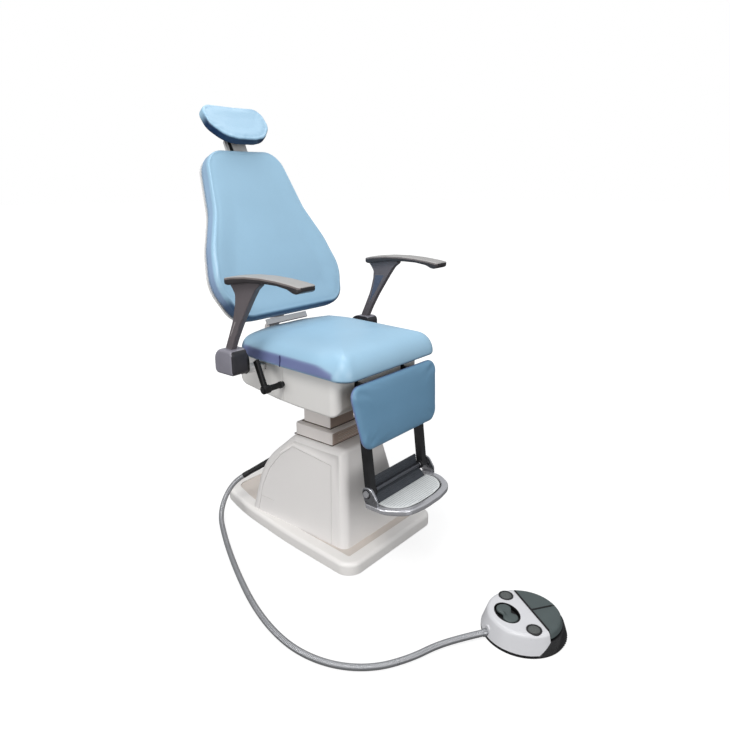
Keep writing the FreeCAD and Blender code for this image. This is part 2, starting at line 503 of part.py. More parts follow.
for n, (bx_, by_) in (("round_button_rear", BT[0]), ("round_button_front", BT[1])):
    b = cylz(bx_, by_, 16, 46, 58.5)
    b = fillet(b, lambda e: abs(e.BoundBox.ZMin - 58.5) < 1e-4, 2)
    save(n, fc_place(b))
ped_blk = cone(rr(40, 1.5), rr(56, 1.5), 40, 56)
ped_blk = fillet(ped_blk, lambda e: abs(e.BoundBox.ZMin - 56) < 1e-4, 9).common(half_w(DIV + 3.2, 200, 0, 100))
save("pedal_rear", fc_place(ped_blk.common(box(-200, 0, 0, -1.8, 200, 100))))
save("pedal_front", fc_place(ped_blk.common(box(1.8, 0, 0, 200, 200, 100))))

# ---------------------------------------------------------------- control hose
route = [sl1, V(-175.0, 293.1, 135.9), V(-204.3, 313.4, 96), V(-238.9, 308.4, 55.4), V(-272.9, 279.3, 24.5), V(-309.5, 219.6, 10.5),
         V(-370, 116, 9.2), V(-440, -18, 9.2), V(-505, -160, 9.2), V(-545, -290, 9.2), V(-555, -400, 9.2), V(-530, -500, 9.2),
         V(-472, -578, 9.2), V(-388, -626, 9.2), V(-305, -652, 11), FCV + bd * 172 + V(0, 0, 22),
         FCV + bd * 118 + V(0, 0, 22)]
def tube_path(pts):
    edges, radii, last = [], [], pts[0]
    for i in range(1, len(pts) - 1):
        a, b = pts[i - 1] - pts[i], pts[i + 1] - pts[i]
        la, lb = a.Length, b.Length
        a.normalize(); b.normalize()
        turn = math.pi - a.getAngle(b)
        t = 0.45 * min(la, lb)
        r = t / math.tan(turn / 2)
        radii.append(round(r))
        p, q = pts[i] + a * t, pts[i] + b * t
        bis = a + b; bis.normalize()
        m = pts[i] + bis * (r / math.cos(turn / 2) - r)
        edges.append(Part.LineSegment(last, p).toShape())
        edges.append(Part.Arc(p, m, q).toShape())
        last = q
    edges.append(Part.LineSegment(last, pts[-1]).toShape())
    return Part.Wire(edges), radii
path, radii = tube_path(route)
d0 = route[1] - route[0]; d0.normalize()
prof = Part.Wire([Part.Circle(route[0], d0, HOSE_D / 2).toShape()])
hose = path.makePipeShell([prof], True, False)
hose = Part.Solid(hose) if hose.ShapeType != "Solid" else hose
print("hose radii", radii)
print("hose runs", [round((route[i + 1] - route[i]).Length) for i in range(len(route) - 1)])
print("hose length", path.Length, "volume ratio", hose.Volume / (math.pi * (HOSE_D / 2) ** 2 * path.Length))
print("route", [tuple(round(c, 1) for c in p) for p in route])
save("control_hose", hose)
print(len(os.listdir("parts")), "files")
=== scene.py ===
import bpy, bmesh, json, math
import numpy as np
from mathutils import Vector, Matrix


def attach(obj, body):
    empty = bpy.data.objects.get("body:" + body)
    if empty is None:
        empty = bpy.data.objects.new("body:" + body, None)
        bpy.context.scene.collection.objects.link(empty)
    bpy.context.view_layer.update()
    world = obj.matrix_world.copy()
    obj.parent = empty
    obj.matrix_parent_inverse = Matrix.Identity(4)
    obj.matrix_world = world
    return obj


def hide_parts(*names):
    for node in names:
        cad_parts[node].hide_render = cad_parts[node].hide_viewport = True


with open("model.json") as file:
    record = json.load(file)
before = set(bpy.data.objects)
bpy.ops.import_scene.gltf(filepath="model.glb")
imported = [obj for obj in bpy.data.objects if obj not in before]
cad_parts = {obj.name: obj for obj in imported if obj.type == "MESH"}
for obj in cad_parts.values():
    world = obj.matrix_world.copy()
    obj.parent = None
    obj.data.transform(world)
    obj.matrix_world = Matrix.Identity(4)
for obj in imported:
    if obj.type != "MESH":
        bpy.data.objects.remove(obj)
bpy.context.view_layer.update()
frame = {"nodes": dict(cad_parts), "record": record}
NODES = frame["nodes"]
MM = 0.001
COLL = bpy.context.scene.collection

# ------------------------------------------------------------------ camera
AZ, EL, ROLL = (math.radians(v) for v in (-49.7, 15.7, -0.3))
back_v = Vector((math.sin(AZ) * math.cos(EL), -math.cos(AZ) * math.cos(EL), math.sin(EL)))
fwd_v = -back_v
right_v = fwd_v.cross(Vector((0, 0, 1))).normalized()
up_v = right_v.cross(fwd_v)
r_v = right_v * math.cos(ROLL) + up_v * math.sin(ROLL)
u_v = r_v.cross(fwd_v)
cam_d = bpy.data.cameras.new("camera")
cam = bpy.data.objects.new("camera", cam_d)
COLL.objects.link(cam)
m4 = Matrix((r_v, u_v, back_v)).transposed().to_4x4()
m4.translation = Vector((-1.492, -1.380, 1.169))
cam.matrix_world = m4
cam_d.sensor_width = 36.0
cam_d.lens = 31.05
cam_d.shift_x, cam_d.shift_y = 0.0148, -0.0074
cam_d.clip_start, cam_d.clip_end = 0.05, 100
bpy.context.scene.camera = cam
bpy.context.scene.view_settings.view_transform = "Standard"


# ------------------------------------------------------------------ materials
def nt_of(m):
    m.use_nodes = True
    nt = m.node_tree
    nt.nodes.clear()
    return nt


def rgb(*c):
    """sRGB 0-255 to linear."""
    out = []
    for v in c:
        v = v / 255.0
        out.append(v / 12.92 if v <= 0.04045 else ((v + 0.055) / 1.055) ** 2.4)
    return tuple(out)


def material(name, color, rough=0.45, metal=0.0, var=0.05, var_scale=5.0, rough_var=0.06, rough_scale=30.0,
             grain=None, grain2=None, coat=0.0, coat_rough=0.1, spec=0.5, aniso=0.0, stretch=(1, 1, 1), side_shade=None, shade=None):
    """Principled surface whose colour, roughness and bump come from procedural noise in the object's own frame.
    grain = (kind, scale per metre, depth in metres, strength)."""
    m = bpy.data.materials.new(name)
    nt = nt_of(m)
    N, L = nt.nodes, nt.links
    out = N.new("ShaderNodeOutputMaterial")
    bs = N.new("ShaderNodeBsdfPrincipled")
    L.new(bs.outputs["BSDF"], out.inputs["Surface"])
    tc = N.new("ShaderNodeTexCoord")
    mp = N.new("ShaderNodeMapping")
    mp.inputs["Scale"].default_value = stretch
    L.new(tc.outputs["Object"], mp.inputs["Vector"])
    n1 = N.new("ShaderNodeTexNoise")
    n1.inputs["Scale"].default_value = var_scale
    n1.inputs["Detail"].default_value = 5
    n1.inputs["Roughness"].default_value = 0.6
    L.new(mp.outputs["Vector"], n1.inputs["Vector"])
    ramp = N.new("ShaderNodeValToRGB")
    c = color
    ramp.color_ramp.elements[0].position = 0.25
    ramp.color_ramp.elements[1].position = 0.75
    ramp.color_ramp.elements[0].color = (*[max(0, v * (1 - var)) for v in c], 1)
    ramp.color_ramp.elements[1].color = (*[min(1, v * (1 + var)) for v in c], 1)
    L.new(n1.outputs["Fac"], ramp.inputs["Fac"])
    if side_shade is None:
        L.new(ramp.outputs["Color"], bs.inputs["Base Color"])
    else:                                                # painted shade: other colours mixed in where the mesh attributes say so
        last = ramp.outputs["Color"]
        for attr, other in (("side_shade", side_shade), ("shade", shade)):
            if other is None:
                continue
            at = N.new("ShaderNodeAttribute")
            at.attribute_name = attr
            mx = N.new("ShaderNodeMix")
            mx.data_type = "RGBA"
            col_a = [q for q in mx.inputs if q.type == "RGBA" and q.name == "A"][0]
            col_b = [q for q in mx.inputs if q.type == "RGBA" and q.name == "B"][0]
            col_b.default_value = (*other, 1)
            L.new(at.outputs["Fac"], mx.inputs["Factor"])
            L.new(last, col_a)
            last = [q for q in mx.outputs if q.type == "RGBA"][0]
        L.new(last, bs.inputs["Base Color"])
    n2 = N.new("ShaderNodeTexNoise")
    n2.inputs["Scale"].default_value = rough_scale
    n2.inputs["Detail"].default_value = 3
    L.new(mp.outputs["Vector"], n2.inputs["Vector"])
    mr = N.new("ShaderNodeMapRange")
    mr.inputs["From Min"].default_value = 0.3
    mr.inputs["From Max"].default_value = 0.7
    mr.inputs["To Min"].default_value = max(0.02, rough - rough_var)
    mr.inputs["To Max"].default_value = min(1.0, rough + rough_var)
    L.new(n2.outputs["Fac"], mr.inputs["Value"])
    L.new(mr.outputs["Result"], bs.inputs["Roughness"])
    bs.inputs["Metallic"].default_value = metal
    bs.inputs["Specular IOR Level"].default_value = spec
    bs.inputs["Coat Weight"].default_value = coat
    bs.inputs["Coat Roughness"].default_value = coat_rough
    bs.inputs["Anisotropic"].default_value = aniso
    last = None
    for g in (grain, grain2):
        if not g:
            continue
        kind, scale, depth, strength = g
        if kind == "cells":
            t = N.new("ShaderNodeTexVoronoi")
            t.feature = "SMOOTH_F1"
            t.inputs["Scale"].default_value = scale
            h = t.outputs["Distance"]
        elif kind == "ribs":
            t = N.new("ShaderNodeTexWave")
            t.wave_type = "BANDS"
            t.bands_direction = "Y"
            t.inputs["Scale"].default_value = scale
            h = t.outputs["Fac"]
        else:
            t = N.new("ShaderNodeTexNoise")
            t.inputs["Scale"].default_value = scale
            t.inputs["Detail"].default_value = 4
            h = t.outputs["Fac"]
        L.new(mp.outputs["Vector"], t.inputs["Vector"])
        b = N.new("ShaderNodeBump")
        b.inputs["Distance"].default_value = depth
        b.inputs["Strength"].default_value = strength
        L.new(h, b.inputs["Height"])
        if last is not None:
            L.new(last.outputs["Normal"], b.inputs["Normal"])
        last = b
    if last is not None:
        L.new(last.outputs["Normal"], bs.inputs["Normal"])
    return m


M = {
    # blue vinyl: the lavender colour is painted shade on the cushion sides, the navy colour painted shade on lower
    # edges and undersides
    "vinyl": material("vinyl_blue", rgb(154, 191, 215), rough=0.40, var=0.045, var_scale=3.5, rough_var=0.07, rough_scale=9,
                      grain=("cells", 900, 0.0004, 0.14), grain2=("noise", 60, 0.0012, 0.08), coat=0.10, coat_rough=0.25, side_shade=rgb(112, 122, 166), shade=rgb(18, 48, 84)),
    # a darker copy of the blue vinyl for the leg pad: painted shade under the seat
    "vinyl_leg_shaded": material("vinyl_blue_leg_shaded", rgb(104, 146, 176), rough=0.42, var=0.06, var_scale=4, rough_var=0.07, rough_scale=9,
                          grain=("cells", 900, 0.0004, 0.14), grain2=("noise", 60, 0.0012, 0.08), coat=0.08, coat_rough=0.25, side_shade=rgb(112, 126, 176), shade=rgb(44, 84, 124)),
    "seam": material("vinyl_seam", rgb(72, 78, 120), rough=0.5, var=0.05, var_scale=20, grain=("cells", 1100, 0.0003, 0.2)),
    "white": material("white_shell", rgb(228, 226, 223), rough=0.38, var=0.02, var_scale=3, grain=("noise", 700, 0.0002, 0.12)),
    "pedestal": material("pedestal_shell", rgb(224, 221, 219), rough=0.40, var=0.022, var_scale=2.5, grain=("noise", 650, 0.0002, 0.14)),
    "base": material("base_shell", rgb(240, 237, 234), rough=0.36, var=0.022, var_scale=3, grain=("noise", 650, 0.0002, 0.12)),
    "column": material("column_paint", rgb(238, 232, 228), rough=0.34, var=0.03, var_scale=6, grain=("noise", 900, 0.00015, 0.2)),
    "grey": material("grey_plastic", rgb(96, 90, 93), rough=0.46, var=0.10, var_scale=14, grain=("noise", 1200, 0.00025, 0.35)),
    # the band colour also draws the pale edge line round the post panel, a painted highlight
    "armband": material("arm_band_and_edge_highlight", rgb(112, 104, 103), rough=0.44, var=0.10, var_scale=16, grain=("noise", 1200, 0.00025, 0.35)),
    # the darker blue-grey of the post panel is painted shade of a recess; the light slit colour is a painted highlight
    "recess": material("arm_recess", rgb(78, 86, 104), rough=0.5, var=0.10, var_scale=16, grain=("noise", 1200, 0.00025, 0.35)),
    "armlight": material("arm_slit_highlight", rgb(150, 145, 145), rough=0.4, var=0.08, var_scale=16, grain=("noise", 1200, 0.00025, 0.3)),
    # darker brown paint for the front faces of column and collar: painted shade under the seat
    "column_front_shaded": material("column_front_shaded", rgb(176, 157, 146), rough=0.36, var=0.05, var_scale=6, grain=("noise", 900, 0.00015, 0.2)),
    # darker grey lines on the tread: painted shade of its grooves
    "groove": material("tread_groove", rgb(184, 188, 190), rough=0.6, var=0.06, var_scale=18, grain=("noise", 900, 0.0003, 0.3)),
    "seal": material("column_seal", rgb(92, 80, 72), rough=0.55, var=0.06, var_scale=18, grain=("noise", 900, 0.0003, 0.3)),
    "house_front": material("housing_front", rgb(44, 43, 48), rough=0.45, var=0.08, var_scale=18, grain=("noise", 1000, 0.0003, 0.3)),
    # warmer darker tone for the base's sunk floor: painted shade round the pedestal
    "base_recess_shade": material("base_recess_shade", rgb(214, 205, 197), rough=0.42, var=0.03, var_scale=5, grain=("noise", 650, 0.0002, 0.12)),
    "charcoal": material("charcoal_plastic", rgb(50, 47, 49), rough=0.42, var=0.12, var_scale=18, grain=("noise", 1200, 0.00025, 0.35)),
    "padgrey": material("arm_pad_grey", rgb(158, 156, 154), rough=0.45, var=0.05, var_scale=12, grain=("cells", 1000, 0.0003, 0.2)),
    "housing": material("housing_grey", rgb(132, 130, 140), rough=0.40, var=0.06, var_scale=12, grain=("noise", 1200, 0.00025, 0.3)),
    "black": material("black_steel", rgb(26, 26, 28), rough=0.40, var=0.25, var_scale=30, grain=("noise", 1500, 0.0002, 0.3)),
    "blackplastic": material("black_plastic", rgb(22, 22, 24), rough=0.55, var=0.2, var_scale=25, grain=("noise", 900, 0.0003, 0.4)),
    "jet": material("jet_plastic", rgb(12, 12, 13), rough=0.5, var=0.3, var_scale=25, spec=0.3, grain=("noise", 900, 0.0003, 0.4)),
    "grip": material("grip_rubber", rgb(22, 22, 24), rough=0.6, var=0.95, var_scale=260, spec=0.4, grain=("noise", 420, 0.0012, 0.8)),
    "steel": material("steel", rgb(165, 165, 168), rough=0.32, metal=1.0, var=0.06, var_scale=40, grain=("noise", 1500, 0.0001, 0.2)),
    "chrome": material("bright_metal", rgb(206, 206, 210), rough=0.20, metal=0.62, var=0.03, var_scale=20, rough_var=0.05),
    "darksteel": material("dark_steel", rgb(112, 114, 120), rough=0.34, metal=1.0, var=0.1, var_scale=30, grain=("noise", 1500, 0.0001, 0.2)),
    "alu": material("alu", rgb(186, 187, 192), rough=0.30, metal=1.0, var=0.05, var_scale=30, grain=("noise", 1600, 0.0001, 0.25)),
    "trough": material("dark_rubber", rgb(60, 64, 70), rough=0.5, var=0.15, var_scale=25, grain=("noise", 1000, 0.0003, 0.4)),
    "tread": material("tread_grey", rgb(216, 219, 219), rough=0.5, var=0.05, var_scale=18, grain=("noise", 900, 0.0003, 0.3)),
    "ply": material("ply", rgb(176, 146, 108), rough=0.6, var=0.15, var_scale=12, stretch=(1, 8, 8), grain=("noise", 300, 0.0003, 0.3)),
    "hose": material("hose_grey", rgb(158, 159, 162), rough=0.32, metal=0.6, var=0.06, var_scale=25, grain=("noise", 900, 0.0002, 0.3)),
    "cwhite": material("control_white", rgb(206, 206, 209), rough=0.33, var=0.02, var_scale=10, grain=("noise", 900, 0.0002, 0.2)),
    "cdark": material("control_dark", rgb(70, 80, 80), rough=0.5, var=0.08, var_scale=30, grain=("noise", 1600, 0.0003, 0.4)),
    "cbtn": material("control_button", rgb(80, 83, 82), rough=0.5, var=0.5, var_scale=420, grain=("noise", 1800, 0.0004, 0.6)),
}
SLOT_MAT = {
    "vinyl_blue": "vinyl", "white_shell": "white", "pedestal_shell": "pedestal", "base_shell": "base", "column_paint": "column",
    "grey_plastic": "grey", "arm_pad_grey": "padgrey", "housing_grey": "housing", "black_steel": "black", "steel": "steel",
    "bright_metal": "chrome", "alu": "alu", "dark_rubber": "trough", "tread_grey": "tread", "ply": "ply",
    "black_plastic": "blackplastic", "hose_grey": "hose", "control_white": "cwhite", "control_dark": "cdark",
}
for row in frame["record"]["subparts"]:
    o = NODES[row["node"]]
    o.data.materials.clear()
    o.data.materials.append(M[SLOT_MAT[row["material_slot"]]])
    o.data.shade_smooth()
    w = o.modifiers.new("weld", "WELD")
    w.merge_threshold = 2e-5
    es = o.modifiers.new("sharp", "EDGE_SPLIT")
    es.split_angle = math.radians(28)
    es.use_edge_sharp = False


# ------------------------------------------------------------------ mesh helpers
def add(name, verts, faces, mats, body, replaces=(), smooth=True, fmat=None):
    me = bpy.data.meshes.new(name)
    me.from_pydata([tuple(v) for v in verts], [], [tuple(f) for f in faces])
    me.validate()
    bm = bmesh.new()
    bm.from_mesh(me)
    bmesh.ops.remove_doubles(bm, verts=bm.verts, dist=1e-7)
    bmesh.ops.recalc_face_normals(bm, faces=bm.faces)
    bm.to_mesh(me)
    bm.free()
    o = bpy.data.objects.new(name, me)
    COLL.objects.link(o)
    for k in mats:
        me.materials.append(M[k])
    if fmat is not None:
        for p in me.polygons:
            p.material_index = fmat(p.center, p.normal)
    if smooth:
        me.shade_smooth()
    dress(o, body, replaces)
    return o


def dress(o, body, replaces=()):
    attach(o, body)
    if replaces:
        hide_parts(*replaces)


def sharp(o, deg=35):
    o.data.set_sharp_from_angle(angle=math.radians(deg))


def rounded(pts, step=2.0):
    """Closed outline with rounded corners, points (a, b[, radius]), sampled about every step."""
    n = len(pts)
    out = []
    for i in range(n):
        p0, p1, p2 = (np.array(pts[j % n][:2], float) for j in (i - 1, i, i + 1))
        r = pts[i][2] if len(pts[i]) > 2 else 0.0
        a, b = p0 - p1, p2 - p1
        la, lb = np.linalg.norm(a), np.linalg.norm(b)
        a /= la; b /= lb
        if r <= 0:
            out.append(p1); continue
        ang = math.acos(np.clip(a @ b, -1, 1))
        t = min(r / math.tan(ang / 2), 0.49 * la, 0.49 * lb)
        rr = t * math.tan(ang / 2)
        bis = (a + b) / np.linalg.norm(a + b)
        c = p1 + bis * (rr / math.sin(ang / 2))
        s, e = p1 + a * t - c, p1 + b * t - c
        th = math.pi - ang
        k = max(2, int(rr * th / step))
        for j in range(k + 1):
            w = j / k
            v = (math.sin((1 - w) * th) * s + math.sin(w * th) * e) / max(math.sin(th), 1e-9)
            out.append(c + v)
    return np.array(out)


def resample(poly, n):
    q = np.vstack([poly, poly[:1]])
    d = np.concatenate([[0], np.cumsum(np.linalg.norm(np.diff(q, axis=0), axis=1))])
    s = np.linspace(0, d[-1], n, endpoint=False)
    return np.stack([np.interp(s, d, q[:, i]) for i in (0, 1)], 1)


def ccw(poly):
    x, y = poly[:, 0], poly[:, 1]
    return poly if np.sum(x * np.roll(y, -1) - np.roll(x, -1) * y) > 0 else poly[::-1].copy()


def normals_in(poly):
    t = np.roll(poly, -1, 0) - np.roll(poly, 1, 0)
    t /= np.linalg.norm(t, axis=1)[:, None] + 1e-12
    return np.stack([-t[:, 1], t[:, 0]], 1)


def sym(half):
    return list(half) + [(-p[0],) + tuple(p[1:]) for p in reversed(half)]


def slab(poly, rings):
    """Closed body from an outline and rings of (inset, height), with flat end faces. Local (a, b, h)."""
    poly = ccw(poly)
    nin = normals_in(poly)
    n = len(poly)
    V_, F_ = [], []
    for ins, h in rings:
        q = poly + nin * ins
        V_ += [(p[0], p[1], h) for p in q]
    for k in range(len(rings) - 1):
        for i in range(n):
            j = (i + 1) % n
            F_.append((k * n + i, k * n + j, (k + 1) * n + j, (k + 1) * n + i))
    F_.append(tuple(reversed(range(n))))
    F_.append(tuple((len(rings) - 1) * n + i for i in range(n)))
    return V_, F_


def edge_rings(h0, h1, r0, r1, k=5):
    """Rings with a rounded edge at both ends."""
    out = []
    for i in range(k + 1):
        a = math.pi / 2 * i / k
        out.append((r0 * (1 - math.sin(a)), h0 + r0 * (1 - math.cos(a))))
    for i in range(k + 1):
        a = math.pi / 2 * i / k
        out.append((r1 * (1 - math.cos(a)), h1 - r1 * (1 - math.sin(a))))
    return out


def dist_to(poly, uv):
    """Distance of points to a closed outline."""
    a = poly
    b = np.roll(poly, -1, 0)
    best = np.full(len(uv), 1e9)
    for p, q in zip(a, b):
        d = q - p
        l2 = d @ d
        if l2 < 1e-12:
            continue
        t = np.clip(((uv - p) @ d) / l2, 0, 1)
        best = np.minimum(best, np.linalg.norm(uv - (p + t[:, None] * d), axis=1))
    return best


def lean(deg, o):
    """Local (x, height, depth from the front) to the chair frame, leaning back by deg about o = (y, z)."""
    a = math.radians(deg)
    c, s = math.cos(a), math.sin(a)
    return lambda x, v, t: (x * MM, (o[0] + t * c + v * s) * MM, (o[1] - t * s + v * c) * MM)


# ------------------------------------------------------------------ cushions
def smoothstep(x):
    x = np.clip(x, 0, 1)
    return x * x * (3 - 2 * x)


def pad_raw(poly, T, r_top, r_bot, n=240):
    """Closed pad in local (u, v, h): flat underside, upright side, rolled edge and a flat top.
    r_top is a number, or a function of the outline points and their inward normals."""
    poly = resample(ccw(poly), n)
    nin = normals_in(poly)
    for _ in range(3):
        nin = (nin + 0.5 * (np.roll(nin, 1, 0) + np.roll(nin, -1, 0))) / 2
    nin /= np.linalg.norm(nin, axis=1)[:, None]
    rt = r_top(poly, nin) if callable(r_top) else np.full(n, float(r_top))
    c = poly.mean(0)
    rings = []
    for s in (0.02, 0.35, 0.7, 0.93):
        rings.append(((poly + nin * r_bot - c) * s + c, np.zeros(n)))
    for i in range(5):
        a = math.pi / 2 * i / 4
        rings.append((poly + nin * r_bot * (1 - math.sin(a)), np.full(n, r_bot * (1 - math.cos(a)))))
    for f in (0.35, 0.7):
        rings.append((poly, r_bot + (T - rt - r_bot) * f))
    for i in range(8):
        a = math.pi / 2 * i / 7
        rings.append((poly + nin * (rt * (1 - math.cos(a)))[:, None], T - rt * (1 - math.sin(a))))
    q0 = poly + nin * rt[:, None]
    for s in (0.96, 0.9, 0.82, 0.72, 0.6, 0.46, 0.32, 0.18, 0.06, 0.015):
        rings.append(((q0 - c) * s + c, np.full(n, float(T))))
    V_, F_ = [], []
    for q, h in rings:
        V_ += [(q[i, 0], q[i, 1], h[i]) for i in range(n)]
    for k in range(len(rings) - 1):
        for i in range(n):
            j = (i + 1) % n
            F_.append((k * n + i, k * n + j, (k + 1) * n + j, (k + 1) * n + i))
    F_.append(tuple(reversed(range(n))))
    F_.append(tuple((len(rings) - 1) * n + i for i in range(n)))
    return np.array(V_), F_


def simulate(co, faces, pinned, voxel, pressure, cap, name, relax, gain):
    """Voxel remesh, then a short pressurised cloth run; returns the cloth's points, the points at rest and the faces (mm)."""
    me = bpy.data.meshes.new(name + "_sim")
    me.from_pydata((co * MM).tolist(), [], [tuple(f) for f in faces])
    bm = bmesh.new(); bm.from_mesh(me)
    bmesh.ops.recalc_face_normals(bm, faces=bm.faces)
    bm.to_mesh(me); bm.free()
    o = bpy.data.objects.new(name + "_sim", me)
    COLL.objects.link(o)
    rm = o.modifiers.new("remesh", "REMESH")
    rm.mode = "VOXEL"
    rm.voxel_size = voxel * MM
    dg = bpy.context.evaluated_depsgraph_get()
    me2 = bpy.data.meshes.new_from_object(o.evaluated_get(dg))
    o.modifiers.clear()
    o.data = me2
    p0 = np.array([v.co for v in me2.vertices]) / MM
    rest = p0.copy()
    vg = o.vertex_groups.new(name="pin")
    idx = np.nonzero(pinned(p0))[0].tolist()
    vg.add(idx, 1.0, "REPLACE")
    cm = o.modifiers.new("cloth", "CLOTH")
    st = cm.settings
    st.quality = 4
    st.mass = 0.25
    st.tension_stiffness = st.compression_stiffness = 12
    st.shear_stiffness = 6
    st.bending_stiffness = 2.0
    st.use_pressure = True
    st.uniform_pressure_force = pressure
    st.vertex_group_mass = "pin"
    st.effector_weights.gravity = 0.0
    cm.collision_settings.use_collision = False
    cm.collision_settings.use_self_collision = False
    cm.point_cache.frame_start, cm.point_cache.frame_end = 1, 20
    sc = bpy.context.scene
    for f in range(1, 21):
        sc.frame_set(f)
    dg = bpy.context.evaluated_depsgraph_get()
    ev = o.evaluated_get(dg)
    p1 = np.array([v.co for v in ev.data.vertices]) / MM
    o.modifiers.clear()
    sc.frame_set(1)
    d = (p1 - p0) * gain
    l = np.linalg.norm(d, axis=1)
    d *= (cap * np.tanh(l / cap) / np.maximum(l, 1e-9))[:, None]
    p0 = p0 + d
    fs = [tuple(p.vertices) for p in me2.polygons]
    ed = np.array([e.vertices[:] for e in me2.edges])
    deg = np.bincount(ed.ravel(), minlength=len(p0)).astype(float)
    both = np.hstack([p0, rest])
    for _ in range(relax):                               # relax the voxel steps
        acc = np.zeros_like(both)
        np.add.at(acc, ed[:, 0], both[ed[:, 1]])
        np.add.at(acc, ed[:, 1], both[ed[:, 0]])
        both = both * 0.5 + 0.5 * acc / deg[:, None]
    bpy.data.objects.remove(o)
    return both[:, :3], both[:, 3:], fs


def cushion(name, half, T, r_top, r_bot, place, body, replaces, mat="vinyl", voxel=4.5, pressure=4.0, cap=2.5, shape=None,
            shrink=2.0, relax=5, side_shade=None, shade=None, gain=0.4):
    poly = ccw(resample(rounded(sym(half), 2.0), 260))
    small = poly + normals_in(poly) * shrink
    raw, faces = pad_raw(small, T - shrink, r_top, r_bot)
    p, rest, fs = simulate(raw, faces, lambda q: q[:, 2] < 3.0, voxel, pressure, cap, name, relax, gain)
    d = dist_to(poly, rest[:, :2])
    tv = side_shade(rest, d) if side_shade is not None else np.zeros(len(p))
    sv = shade(rest, d) if shade is not None else np.zeros(len(p))
    if shape is not None:
        p = p + shape(rest, d) - rest
    w = [place(u, v, h) for u, v, h in p]
    o = add(name, w, fs, [mat], body, replaces)
    # per-vertex masks for painted shade: a lavender colour on the side faces and a navy colour on lower edges and
    # undersides
    if len(o.data.vertices) == len(tv):
        for attr, val in (("side_shade", tv), ("shade", sv)):
            at = o.data.attributes.new(attr, "FLOAT", "POINT")
            at.data.foreach_set("value", np.clip(val, 0, 1).astype(np.float32))
    sub = o.modifiers.new("smooth", "SUBSURF")
    sub.levels = sub.render_levels = 1
    return o


SEAT_TILT, SEAT_PIV = math.radians(1.5), (-286.0, 621.0)


def on_seat(x, y, h):
    c, s = math.cos(SEAT_TILT), math.sin(SEAT_TILT)
    dy = y - SEAT_PIV[0]
    return (x * MM, (SEAT_PIV[0] + dy * c - h * s) * MM, (SEAT_PIV[1] + dy * s + h * c) * MM)


SEAT_RIDGE = 42.0


def seat_edge(poly, nin):
    """Crisp ridge along the sides, soft roll at the front and rear."""
    front = smoothstep((-150 - poly[:, 1]) / 90)
    rear = smoothstep((poly[:, 1] - 120) / 90)
    return 6.0 + 22.0 * front + 12.0 * rear


def seat_shape(p, d):
    u, v, h = p.T.copy()
    up = smoothstep((h - 8) / 14)
    rear = smoothstep((v - 40) / 150)
    h = h + up * (46.0 - 14.0 * rear) * (1 - np.exp(-d / (45.0 - 15.0 * rear)))
    h = h - up * 3.5 * np.exp(-((u / 130) ** 2 + ((v - 20) / 140) ** 2))
    # sides draw in a little between the corners
    u = u - np.sign(u) * 2.5 * np.exp(-((v + 20) / 150) ** 2) * smoothstep((30 - d) / 25) * smoothstep(h / 20)
    return np.stack([u, v, h], 1)


# painted shade: lavender on the side faces between front and rear corners
def seat_side_shade(p, d):
    u, v, h = p.T
    return smoothstep((SEAT_RIDGE - 3.0 - h) / 5.0) * smoothstep((np.abs(u) - 190) / 14) * smoothstep((v + 238) / 16) * smoothstep((6 - d) / 4) * smoothstep((176 - v) / 14)


# painted shade: navy along the front lower edge and on the lower sides at the rear
def seat_shade(p, d):
    u, v, h = p.T
    return 0.9 * smoothstep((9 - h) / 7) * smoothstep((14 - d) / 8) * smoothstep((-235 - v) / 20) + 0.75 * smoothstep((v - 160) / 16) * smoothstep((41 - h) / 8) * smoothstep((14 - d) / 8)


seat_half = [(240, -285, 50), (239, 100, 900), (222, 198, 62), (90, 240, 200)]
seat = cushion("seat_pad", seat_half, SEAT_RIDGE, seat_edge, 6, on_seat, "seat", ["seat_cushion"], shape=seat_shape, side_shade=seat_side_shade, shade=seat_shade, cap=2.5)

# upright seam in the boxing strip, both sides
for side, sx in (("right", -1), ("left", 1)):
    v, f = slab(np.array([(-18.6, 3.0), (-17.2, 3.0), (-17.2, 38.0), (-18.6, 38.0)]), [(0, 234.0), (0, 238.6)])
    add("seat_seam_" + side, [on_seat(sx * h, a, b) for a, b, h in v], f, ["seam"], "seat", smooth=False)

back_place = lean(24.58, (139.0, 749.0))
back_half = [(239, 0, 85), (292, 132, 130), (261, 250, 260), (203, 372, 220), (158, 584, 80)]
BACK_T = 56.0


def back_ridge(v, nu):
    """Edge radius: tight round the top, a full bolster down the sides."""
    return 4.0 + 7.0 * smoothstep((400 - v) / 300) * np.abs(nu) ** 1.5 + 9.0 * smoothstep((70 - v) / 70) * (1 - np.abs(nu))


def back_edge(poly, nin):
    return back_ridge(poly[:, 1], nin[:, 0])


def back_shape(p, d):
    u, v, h = p.T.copy()
    top = smoothstep((h - 26) / 16)
    low = smoothstep((470 - v) / 300)
    rid = 5.0 + 8.0 * low
    # a fine raised line where the side meets the face, then a shallow dished face
    h = h + top * 2.2 * np.exp(-((d - rid) / 5.0) ** 2)
    h = h - top * (2.0 + 7.0 * low) * smoothstep((d - rid) / 85)
    # the sides draw in towards the shell
    ins = 7.0 * smoothstep((22 - h) / 22)
    cen = np.array([0.0, 270.0])
    q = np.stack([u, v], 1) - cen
    l = np.linalg.norm(q, axis=1)
    near = smoothstep((26 - d) / 20)
    q -= q / np.maximum(l, 1e-6)[:, None] * (ins * near)[:, None]
    return np.stack([q[:, 0], q[:, 1] + 270.0, h], 1)


# painted shade: lavender on the side faces, stronger towards the bottom
def back_side_shade(p, d):
    u, v, h = p.T
    low = smoothstep((470 - v) / 300)
    return (0.30 + 0.25 * low) * smoothstep((46 - h) / 8) * smoothstep((34 - d) / 20) * smoothstep(v / 60)


